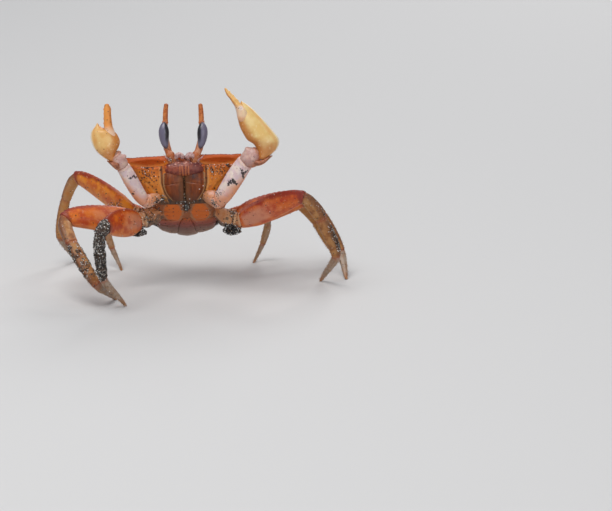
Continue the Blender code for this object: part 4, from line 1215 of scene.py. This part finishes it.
eye_stalks = {}
for side, sign in (("left", 1.0), ("right", -1.0)):
    stalk = tube(f"eyestalk_{side}_shell", on_body([(sign * x, y, z) for x, y, z in STALK]), STALK_RADII,
                 80, 36, stalk_shape)
    settle(stalk, stalk_finish, "horn_orange", f"eyestalk_{side}")
    eye_stalks[side] = stalk
    horn = tube(f"horn_{side}", on_body([(sign * x, y, z) for x, y, z in HORN]), HORN_RADII,
                60, 32, horn_shape, start=0.2, tip=0.62)
    settle(horn, horn_finish, "horn_orange", f"eyestalk_{side}")

    low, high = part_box(f"cornea_{side}")
    centre = (low + high) / 2
    bpy.ops.object.select_all(action="DESELECT")
    bpy.ops.mesh.primitive_uv_sphere_add(segments=64, ring_count=48, radius=1.0)
    cornea = bpy.context.active_object
    cornea.name = cornea.data.name = f"cornea_{side}_lens"
    ball = np.array([vertex.co for vertex in cornea.data.vertices])
    height = ball[:, 2].copy()
    fullness = 1.0 - 0.10 * height**4 + 0.08 * np.sin(np.pi * height)
    inner_side = -sign * ball[:, 0] + 0.25 * ball[:, 1]
    ball[:, 0] *= CORNEA_HALF[0] * fullness * np.where(sign * ball[:, 0] > 0, 1.08, 0.92)
    ball[:, 1] *= CORNEA_HALF[1] * fullness
    ball[:, 0] -= sign * (0.3 + 0.5 * np.clip(-height, 0, 1) ** 2)
    ball[:, 2] *= CORNEA_HALF[2]
    cornea.data.vertices.foreach_set("co", ball.ravel())
    cornea.data.transform(Matrix.Translation(centre) @ Matrix.Rotation(-EYE_LEAN, 4, "X")
                          @ Matrix.Rotation(sign * EYE_SPREAD, 4, "Y") @ Matrix.Scale(MM, 4))
    only(cornea)
    bpy.ops.object.shade_smooth()
    paint(cornea, "inner", inner_side)
    paint(cornea, "high", height)
    settle(cornea, cornea_finish, "cornea_grey", f"cornea_{side}")


# ---- Mouthparts ----
# The outer mouthparts close the well in the face like a pair of doors, a long lower plate and a shorter
# upper one grown edge to edge on each side. They are leathery brown, streaked, with a thin cream rim.

# Edges of the left pair of plates in x, b, c from top to bottom, and how thick the pair is there.
INNER_EDGE = ((0.25, 1.5, -5.4), (0.25, 1.9, -7.6), (0.25, 2.8, -10.0), (0.3, 4.0, -12.4), (0.5, 5.2, -14.7))
OUTER_EDGE = ((7.5, 1.5, -5.4), (7.6, 1.9, -7.6), (7.5, 2.8, -10.0), (6.5, 3.9, -12.3), (4.6, 5.0, -14.5))
MOUTH_PLATE_DEPTHS = (2.6, 2.9, 3.0, 2.6, 1.8)


def mouth_plate_shape(along, angle):
    """Plate with a raised rim, a faint seam between its two parts, and a furrow on the lower."""
    front = step(np.cos(angle), -0.1, 0.4)
    lift = -0.22 * hump(along - 0.40 - 0.05 * np.sin(angle), 0.018) * front
    lift += 0.20 * edge_hump(angle, 68, 8) - 0.14 * edge_hump(angle, 50, 8)
    lift += 0.10 * edge_hump(angle, -66, 8)
    lift -= 0.16 * edge_hump(angle, -25, 9) * step(along, 0.45, 0.55) * (1 - step(along, 0.86, 0.95))
    lift += 0.30 * edge_hump(angle, 10, 34) * np.sin(np.pi * along)
    return np.ones_like(along), lift


mouth_finish, where = new_finish("mouth_plate", Coat_Weight=0.08, Coat_Roughness=0.2, **SHELL)
along, outer = kept(where, "along"), kept(where, "outer")
stretched = where.node("VectorMath", {"operation": "MULTIPLY"}, {0: where, 1: (1.0, 1.0, 0.35)})
streaks = patches(stretched, 0.9, 2.0, 2.0)
cloud = patches(where, 2.2, 5.0, 3.0)
colour = mixed(between(streaks, 0.30, 0.70), rgb(0.125, 0.022, 0.003), rgb(0.23, 0.048, 0.005))
colour = mixed(between(along + (cloud - 0.5) * 0.5, 0.66, 0.95) * 0.65, colour, rgb(0.075, 0.028, 0.012))
colour = mixed(between(outer + (cloud - 0.5) * 0.3, -0.2, -0.8) * 0.45, colour, rgb(0.13, 0.070, 0.030))
colour = mixed(between(outer, 0.80, 0.92) * 0.7, colour, rgb(0.46, 0.27, 0.12))
colour = mixed(between(outer, -0.84, -0.97) * 0.8, colour, rgb(0.04, 0.016, 0.010))
colour = mixed(specks(where, 1.0, 0.2, 0.25, 4.0) * 0.85, colour, rgb(0.05, 0.022, 0.015))
colour = mixed(kept(where, "blotch") * between(patches(where, 0.7, 9.0), 0.32, 0.50) * 0.9, colour,
               rgb(0.035, 0.018, 0.020))
put_finish(mouth_finish, colour, 0.36 + cloud * 0.2, streaks, 0.025)

mouth_plates = {}
for side, sign in (("left", 1.0), ("right", -1.0)):
    edges = [on_trunk([(sign * x, b, c) for x, b, c in edge]) for edge in (OUTER_EDGE, INNER_EDGE)]
    plate = limb_shell(f"maxilliped_{side}_plate", flat_rings(*edges, MOUTH_PLATE_DEPTHS), -BACK,
                       np.array((sign, 0.0, 0.0)), 120, 72, mouth_plate_shape, bulb=0.2, tip=0.3)
    spots = trunk_places(points_of(plate)[0])
    paint(plate, "blotch", hump(np.hypot(spots[:, 0] - 3.4, spots[:, 2] + 7.2), 1.3))
    settle(plate, mouth_finish, "mouth_brown", f"maxilliped_{side}")
    mouth_plates[side] = plate


# ---- Upper lip and feelers ----
# Under the narrow snout bulges the frame of the upper lip, purplish, with fine upright ribs. Two short inner
# feelers fold into pits above it, pale and thick, and two thin outer ones stand beside the eye stalks.

LIP_HALF = (7.5, 2.9, 3.2)  # half its width, depth and height
LIP_MIDDLE = (0.2, 1.5, -3.5)  # x, b, c

bpy.ops.object.select_all(action="DESELECT")
bpy.ops.mesh.primitive_uv_sphere_add(segments=128, ring_count=96, radius=1.0)
lip = bpy.context.active_object
lip.name = lip.data.name = "upper_lip"
ball = points_of(lip)[0]
ball = np.sign(ball) * np.abs(ball) ** 0.80
x = ball[:, 0] * (LIP_HALF[0] - 0.9 * step(ball[:, 2], -0.6, 0.9))
ribs = np.abs(np.sin(x * 0.95 * np.pi)) * hump(x, 3.0) * step(-ball[:, 2], -0.25, 0.15)
knobs = beads(ball * np.array((7.0, 2.4, 3.0)), 0.8, 0.6)
lift = 1 + 0.15 * ribs + 0.06 * knobs * step(ball[:, 2], -0.6, 0.2)
shaped = np.stack([x, ball[:, 1] * LIP_HALF[1] * lift, ball[:, 2] * LIP_HALF[2]], axis=1)
move_points(lip, shaped + LIP_MIDDLE)
lip.data.transform(TRUNK)
only(lip)
bpy.ops.object.shade_smooth()
paint(lip, "ribs", np.clip(ribs * 1.2, 0, 1))
paint(lip, "knobs", knobs * step(ball[:, 2], -0.5, 0.1))
paint(lip, "left", step(ball[:, 0], 0.1, 0.6))
paint(lip, "high", ball[:, 2])

lip_finish, where = new_finish("lip", Coat_Weight=0.2, Coat_Roughness=0.2, **SHELL)
cloud = patches(where, 1.2, 3.0, 3.0)
colour = mixed(between(cloud, 0.36, 0.64), rgb(0.155, 0.024, 0.016), rgb(0.30, 0.072, 0.038))
colour = mixed(kept(where, "left") * 0.5, colour, rgb(0.070, 0.010, 0.018))
colour = mixed(between(kept(where, "ribs"), 0.45, 0.9) * 0.85, colour, rgb(0.50, 0.15, 0.050))
colour = mixed(between(kept(where, "knobs"), 0.45, 0.85) * 0.70, colour, rgb(0.64, 0.33, 0.26))
colour = mixed(between(kept(where, "high"), 0.45, 0.95) * 0.5, colour, rgb(0.58, 0.28, 0.22))
colour = mixed(specks(where, 0.9, 0.20, 0.35, 12.0) * 0.85, colour, rgb(0.05, 0.015, 0.015))
put_finish(lip_finish, colour, 0.32 + cloud * 0.2, pimples_of(where, 0.4), 0.05)
settle(lip, lip_finish, "mouth_brown")


def feeler_shape(along, angle):
    """Ringed feeler."""
    return np.ones_like(along), 0.07 * np.abs(np.sin(along * 9 * np.pi))


feeler_finish, where = new_finish("feeler", Coat_Weight=0.2, Coat_Roughness=0.2, **SHELL)
cloud = patches(where, 0.7, 3.0, 3.0)
colour = mixed(between(cloud, 0.38, 0.62), rgb(0.36, 0.17, 0.16), rgb(0.62, 0.42, 0.39))
colour = mixed(specks(where, 0.8, 0.22, 0.45, 4.0) * 0.9, colour, rgb(0.06, 0.02, 0.02))
put_finish(feeler_finish, colour, 0.36 + cloud * 0.2, patches(where, 0.3, 2.0), 0.03)

# Middle lines of the left feelers in the body's millimetres.
FOLDED = ((0.7, -14.6, 50.1), (1.6, -15.0, 51.1), (2.6, -14.9, 50.9), (3.2, -14.2, 49.8))
STANDING = ((4.9, -14.2, 48.6), (5.5, -15.0, 49.4), (6.4, -15.2, 50.2), (7.2, -14.9, 51.0))
feelers = []
for sign in (1.0, -1.0):
    folded = on_body([(0.6 + sign * x, y, z) for x, y, z in FOLDED])
    standing = on_body([(0.3 + sign * x, y, z) for x, y, z in STANDING])
    feelers.append(tube("feeler", folded, (0.75, 0.9, 0.85, 0.6), 60, 20, feeler_shape))
    feelers.append(tube("feeler", standing, (0.45, 0.3, 0.2, 0.1), 50, 12, feeler_shape))
feelers = joined(feelers, "feelers")
settle(feelers, feeler_finish, "mouth_brown")


# ---- Tail ----
# The narrow tail flap of a male: seven short plates of thin shell, hinged edge to edge and coloured like the
# breast. It hangs on the carapace's rear edge and lies folded forward in the groove of the breast.

TAIL_SEAMS = (0.16, 0.30, 0.44, 0.58, 0.71, 0.84)  # shares of the tail's length


def tail_shape(along, angle):
    """Plates with seams between them and a low keel down the middle."""
    seams = sum(hump(along - stop, 0.012) for stop in TAIL_SEAMS)
    return np.ones_like(along), 0.05 - 0.16 * seams + 0.12 * edge_hump(angle, 0, 26)


tail = limb_shell("pleon_plate", rings_of("pleon", None, 10), -UP, np.array((1.0, 0.0, 0.0)),
                  150, 60, tail_shape, bulb=0.4, tip=0.3)
places = points_of(tail)[0]
x, b, _ = trunk_places(places).T
for breast_mark in ("rings", "pillow", "notch", "high"):
    paint(tail, breast_mark, np.zeros(len(x)))
paint(tail, "across", np.abs(x) / BREAST_HALF)
paint(tail, "back", b / SHIELD_LENGTH)
# In the breast's finish, this height gives the tail the same painted shade low down.
paint(tail, "height", places[:, 2] / MM / 50.0)
settle(tail, breast_finish, "belly_orange", "pleon")


# ---- Sand ----
# Black beach sand clings to the damp shell: single grains all over, a coat of them on the shins that were
# last in the burrow, and caked lumps in the corners between the legs and the trunk.

chance = np.random.default_rng(11)


def kept_on(piece, name):
    """The numbers that a piece keeps on its vertices under a name."""
    values = np.empty(len(piece.data.vertices), dtype=np.float32)
    piece.data.attributes[name].data.foreach_get("value", values)
    return values


def roots_on(piece, count, weights):
    """Random places on a piece in millimetres, the way out there, and the vertices used.

    They are closer together where weights are high.
    """
    places, normals = points_of(piece)
    picked = chance.choice(len(places), count, p=weights / weights.sum())
    out = normals[picked]
    drift = chance.normal(0.0, 0.15, (count, 3))
    drift -= out * (drift * out).sum(1)[:, None]
    return places[picked] / MM + drift, out, picked


def around(piece, x, z, reach, ahead=True):
    """Weights of a piece's vertices near a place seen from the front, x, z in body millimetres."""
    places, normals = points_of(piece)
    away = np.hypot((places[:, 0] - BODY.x) / MM - x, places[:, 2] / MM - z)
    return hump(away, reach) * (normals @ CLAW_FRONT > 0.05 if ahead else 1.0) * (away < 2.2 * reach) + 1e-12


def strewn(name, pattern, places, turns, shades, spots, patch):
    """One mesh of many copies of a small pattern, each at its place in millimetres and turned by its matrix.

    shades gives each copy a number to read in its material. spots is its place in the map that a bake uses,
    and patch half its size there.
    """
    shape = points_of(pattern)[0]
    faces = np.array([face.vertices[:] for face in pattern.data.polygons])
    bpy.data.objects.remove(pattern)
    count, corners = len(places), len(shape)
    points = np.einsum("nij,vj->nvi", turns, shape) + places[:, None]
    rows = (faces[None] + np.arange(count)[:, None, None] * corners).reshape(-1, faces.shape[1])
    mesh = bpy.data.meshes.new(name)
    mesh.from_pydata((points.reshape(-1, 3) * MM).tolist(), [], rows.tolist())
    piece = bpy.data.objects.new(name, mesh)
    bpy.context.collection.objects.link(piece)
    paint(piece, "shade", np.repeat(shades, corners))
    flat = shape[faces.ravel(), :2] / np.abs(shape[:, :2]).max()
    layout = (spots[:, None] + flat[None] * patch).reshape(-1, 2)
    mesh.uv_layers.new(name="OFBake").data.foreach_set("uv", layout.ravel())
    return piece


lumps = []


def grains_at(places):
    """Adds grains at places in millimetres, most fine and a few coarse.

    Each is a row of the lumps: its place, its radius, and its shade from 0 to 1.
    """
    count = len(places)
    radii = 0.11 + 0.13 * chance.random((count, 1)) ** 1.5 + 0.13 * chance.random((count, 1)) ** 9
    lumps.append(np.hstack([places, radii, chance.random((count, 1))]))


def lay_grains(piece, count, weights, pile=0.06):
    """Strews grains over a piece, heaped up to pile millimetres high."""
    places, out, picked = roots_on(piece, count, weights)
    grains_at(places + out * (chance.uniform(-0.03, pile, count) * weights[picked] / weights.max())[:, None])


CLODS = 60


def cake(middle, reach, count):
    """Cakes a lump of wet sand in the body's millimetres: dark clods inside, grains all round them."""
    middle = np.array(place(*middle)) / MM
    ways = chance.normal(size=(count, 3))
    ways /= np.linalg.norm(ways, axis=1)[:, None]
    ragged = 0.86 + 0.16 * ripples(ways + middle, 0.7)
    grains_at(middle + ways * (ragged * chance.uniform(0.92, 1.04, count))[:, None] * reach)
    clods = ways[:CLODS] * (ragged[:CLODS] * chance.uniform(0.35, 0.68, CLODS))[:, None] * reach
    lumps.append(np.hstack([middle + clods, np.full((CLODS, 1), 0.36 * min(reach)), np.zeros((CLODS, 1))]))


sand_finish, where = new_finish("sand_grain", Specular_IOR_Level=0.4)
shade = kept(where, "shade")
colour = mixed(between(shade, 0.50, 0.51), rgb(0.020, 0.018, 0.018), rgb(0.085, 0.078, 0.074))
colour = mixed(between(shade, 0.68, 0.69), colour, rgb(0.15, 0.075, 0.035))
colour = mixed(between(shade, 0.79, 0.80), colour, rgb(0.42, 0.38, 0.33))
colour = mixed(between(shade, 0.88, 0.89), colour, rgb(0.84, 0.82, 0.78))
put_finish(sand_finish, colour, 0.25 + shade * 0.3)


LOWEST_GRAIN = 0.15  # height of the lowest grains' middles above the floor


def strew_sand(name):
    """Makes one piece of the grains laid so far."""
    bpy.ops.object.select_all(action="DESELECT")
    bpy.ops.mesh.primitive_ico_sphere_add(subdivisions=1, radius=1.0)
    grain = bpy.context.active_object
    grains = np.concatenate(lumps)
    lumps.clear()
    grains[:, 2] = np.maximum(grains[:, 2], LOWEST_GRAIN)
    count = len(grains)
    turns = np.linalg.qr(chance.normal(size=(count, 3, 3)))[0]
    turns = turns * np.linalg.det(turns)[:, None, None]
    sizes = grains[:, 3:4] * chance.uniform(0.65, 1.1, (count, 3))
    cells = math.ceil(math.sqrt(count))
    spots = (np.stack([np.arange(count) % cells, np.arange(count) // cells], axis=1) + 0.5) / cells
    sand = strewn(name, grain, grains[:, :3], turns * sizes[:, None, :], grains[:, 4], spots, 0.42 / cells)
    settle(sand, sand_finish, "sand")


shin, knee = leg_shells["leg2_right", "propodus"], leg_shells["leg2_right", "carpus"]
damp = step(ripples(points_of(shin)[0] / MM, 1.6), -0.6, 0.1) * step(kept_on(shin, "along"), 1.0, 0.7)
lay_grains(shin, 3000, 0.25 + damp, 0.34)
lay_grains(knee, 900, 0.25 + step(ripples(points_of(knee)[0] / MM, 1.4), -0.5, 0.1), 0.26)
shin = leg_shells["leg3_right", "propodus"]
coat = step(kept_on(shin, "along"), 0.03, 0.18) * step(kept_on(shin, "along"), 0.85, 0.65)
lay_grains(shin, 1300, coat * step(ripples(points_of(shin)[0] / MM, 1.8), -0.35, 0.1) + 1e-9, 0.24)
shin = leg_shells["leg2_left", "propodus"]
coat = step(kept_on(shin, "along"), 0.20, 0.36) * step(kept_on(shin, "along"), 0.90, 0.76)
lay_grains(shin, 460, coat * step(kept_on(shin, "outer"), 0.30, 0.75) + 1e-9, 0.26)
knee = leg_shells["leg2_left", "carpus"]
lay_grains(knee, 90, 0.2 + step(kept_on(knee, "outer"), 0.0, 0.8))
strew_sand("sand_coat")

# How many loose grains lie on each segment of a leg.
LOOSE_GRAINS = {"base": 80, "merus": 40, "carpus": 20, "propodus": 34, "dactyl": 16}
for (leg, part), shell in leg_shells.items():
    lay_grains(shell, LOOSE_GRAINS[part], np.ones(len(shell.data.vertices)))

CLUMPS = (  # piece, x and z seen from the front, reach, count, height of the heap
    (leg_shells["leg2_right", "base"], -16.5, 21.6, 1.7, 120, 0.9), (sternum, -13.6, 22.0, 1.8, 130, 0.7),
    (leg_shells["leg3_right", "base"], -17.5, 22.2, 1.6, 110, 0.6),
    (leg_shells["leg2_left", "base"], 16.3, 21.3, 1.9, 140, 1.0), (sternum, 13.8, 22.2, 1.6, 90, 0.6),
    (leg_shells["leg3_left", "base"], 17.5, 21.6, 1.6, 110, 0.8),
    (leg_shells["leg4_right", "merus"], -25.2, 26.8, 1.9, 200, 0.6),
    (leg_shells["leg4_right", "base"], -22.5, 25.6, 1.5, 70, 0.5), (sternum, 0.9, 31.3, 1.1, 90, 0.5),
    (sternum, 1.2, 33.4, 0.9, 60, 0.4), (face, -0.6, 34.6, 1.3, 70, 0.4), (face, 4.6, 34.6, 1.2, 50, 0.3),
    (face, -7.5, 35.4, 1.0, 44, 0.3), (face, 9.0, 35.2, 1.0, 44, 0.3), (sternum, -9.8, 29.8, 1.2, 60, 0.4),
    (leg_shells["leg2_left", "base"], 17.5, 29.2, 1.0, 50, 0.3),
    (leg_shells["leg2_right", "base"], -12.4, 27.6, 1.4, 70, 0.4),
    (arm_shells["claw_right", "base"], -9.6, 34.4, 1.2, 40, 0.3),
    (arm_shells["claw_left", "base"], 11.5, 34.6, 1.2, 40, 0.3),
    (arm_shells["claw_left", "merus"], 13.0, 38.5, 1.3, 26, 0.1), (face, 15.6, 48.4, 1.2, 40, 0.1),
    (face, -13.0, 45.5, 2.6, 60, 0.1), (face, 11.6, 46.6, 2.4, 70, 0.1),
    (eye_stalks["right"], -4.6, 49.4, 0.7, 26, 0.2))
cake((17.4, -11.2, 21.9), (3.7, 1.7, 1.9), 620)
cake((-16.4, -15.0, 22.2), (3.4, 1.8, 1.7), 500)
for piece, x, z, reach, count, heap in CLUMPS:
    lay_grains(piece, round(1.5 * count), around(piece, x, z, reach), heap)
for piece, count in (
        (face, 90), (sternum, 130), (carapace, 120), (lip, 16), (tail, 20), (mouth_plates["left"], 22),
        (mouth_plates["right"], 16), (arm_shells["claw_left", "base"], 20),
        (arm_shells["claw_right", "base"], 20), (arm_shells["claw_left", "merus"], 16),
        (arm_shells["claw_right", "merus"], 10), (arm_shells["claw_left", "carpus"], 12),
        (arm_shells["claw_right", "carpus"], 8)):
    lay_grains(piece, count, np.ones(len(piece.data.vertices)))
strew_sand("sand_loose")


# ---- Bristles ----
# Short, stiff, amber bristles of hardened shell stand in rows along the edges of the shins and toes, each
# rooted in its own pit, and fringe the mouthparts.

BRISTLE_RADIUS = 0.055
TILES = 5  # the bake's map is split into this many tiles each way, one for each bristled piece
roots, ways, spots = [], [], []


def set_bristles(piece, count, weights, lean, tile):
    """Roots bristles on a piece, leaning by a direction; tile is the part of the bake's map that they use."""
    places, out, picked = roots_on(piece, count, weights + 1e-9)
    roots.append(places)
    ways.append(out + lean + chance.normal(0.0, 0.15, (count, 3)))
    turn = np.arctan2(kept_on(piece, "outer"), kept_on(piece, "front"))[picked] / (2 * np.pi) + 0.5
    part = np.stack([kept_on(piece, "along")[picked], turn], axis=1)
    spots.append((part * 0.94 + 0.03 + np.array((tile % TILES, tile // TILES))) / TILES)


for tile, (leg, part) in enumerate(key for key in leg_shells if key[1] in ("propodus", "dactyl")):
    shell = leg_shells[leg, part]
    outer, along = kept_on(shell, "outer"), kept_on(shell, "along")
    rows = hump(np.abs(outer) - 0.98, 0.10) * step(along, 0.02, 0.1) * step(along, 0.98, 0.85)
    steps = leg_rings[leg][part]
    lean = steps[-1].mean(0) - steps[0].mean(0)
    set_bristles(shell, 100 if part == "propodus" else 110, rows, 1.3 * lean / np.linalg.norm(lean), tile)
for tile, side in ((16, "left"), (17, "right")):
    plate = mouth_plates[side]
    fringe = step(-kept_on(plate, "outer"), 0.80, 0.97) * step(kept_on(plate, "along"), 0.05, 0.2)
    set_bristles(plate, 40, fringe, -BACK * 0.5, tile)

bpy.ops.object.select_all(action="DESELECT")
bpy.ops.mesh.primitive_cone_add(vertices=3, radius1=1.0, depth=1.0, location=(0.0, 0.0, 0.5))
bristle = bpy.context.active_object
bpy.ops.object.transform_apply(location=True)
roots, ways, spots = np.concatenate(roots), np.concatenate(ways), np.concatenate(spots)
ways /= np.linalg.norm(ways, axis=1)[:, None]
sides = np.cross(ways, chance.normal(size=ways.shape))
sides /= np.linalg.norm(sides, axis=1)[:, None]
lengths = chance.uniform(0.5, 1.1, len(roots))
to_floor = (roots[:, 2] - 0.05) / np.maximum(-ways[:, 2], 1e-3)
lengths = np.minimum(lengths, np.where(ways[:, 2] < 0, to_floor, 9.0))
reaches = ways * np.maximum(lengths, 0.05)[:, None]
turns = np.stack([sides * BRISTLE_RADIUS, np.cross(ways, sides) * BRISTLE_RADIUS, reaches], axis=2)
bristles = strewn("bristles", bristle, roots, turns, chance.random(len(roots)), spots, 0.0015)

bristle_finish, where = new_finish("bristle", Specular_IOR_Level=0.4)
shade = kept(where, "shade")
colour = mixed(shade, rgb(0.20, 0.085, 0.030), rgb(0.50, 0.30, 0.13))
put_finish(bristle_finish, colour, 0.35 + shade * 0.2)
settle(bristles, bristle_finish, "bristle")


# ---- Studio ----
# A pale floor, soft light from overhead, the front and behind, and a long lens a little above the crab.
# None of it is part of the crab.

bpy.ops.object.select_all(action="DESELECT")
bpy.ops.mesh.primitive_plane_add(size=6.0, location=(0.0, 0.0, 0.0))
floor = bpy.context.active_object
floor.name = "studio_floor"
floor_paint = bpy.data.materials.new("studio_floor")
floor_paint.use_nodes = True
floor_shader = floor_paint.node_tree.nodes["Principled BSDF"]
floor_shader.inputs["Base Color"].default_value = rgb(0.62, 0.61, 0.60)
floor_shader.inputs["Roughness"].default_value = 0.9
floor.data.materials.append(floor_paint)

sky = bpy.data.worlds.new("studio")
bpy.context.scene.world = sky
sky.use_nodes = True
sky_shader = sky.node_tree.nodes["Background"]
sky_shader.inputs["Color"].default_value = rgb(0.86, 0.91, 1.0)
sky_shader.inputs["Strength"].default_value = 0.30


def soft_light(name, position, size, watts, aim=(0.0, 0.0, 0.03)):
    """Square soft box pointing at a place on the crab."""
    lamp = bpy.data.lights.new(name, "AREA")
    lamp.size = size
    lamp.energy = watts
    holder = bpy.data.objects.new(name, lamp)
    holder.location = position
    holder.rotation_euler = (Vector(aim) - Vector(position)).to_track_quat("-Z", "Y").to_euler()
    bpy.context.collection.objects.link(holder)


soft_light("light_overhead", (-0.25, -0.30, 0.95), 0.7, 7.5)
soft_light("light_front", (0.5, -1.1, 0.45), 0.7, 3.2)
soft_light("light_back", (0.35, 0.9, 0.7), 0.5, 4.5)

VIEW_DOWN = math.radians(15.0)
PICTURE_WIDTH = 0.2228  # metres across the picture, at the crab
LOOKS_AT = place(44.4, -15.0, 13.48)  # middle of the picture: the crab stands left of it
lens = bpy.data.cameras.new("camera")
lens.lens = 200.0
lens.sensor_width = 36.0
lens.clip_end = 20.0
camera = bpy.data.objects.new("camera", lens)
camera.rotation_euler = (math.pi / 2 - VIEW_DOWN, 0.0, 0.0)
back_off = PICTURE_WIDTH * lens.lens / lens.sensor_width
camera.location = LOOKS_AT - Vector((0.0, math.cos(VIEW_DOWN), -math.sin(VIEW_DOWN))) * back_off
bpy.context.collection.objects.link(camera)
bpy.context.scene.camera = camera
bpy.context.scene.view_settings.view_transform = "Standard"
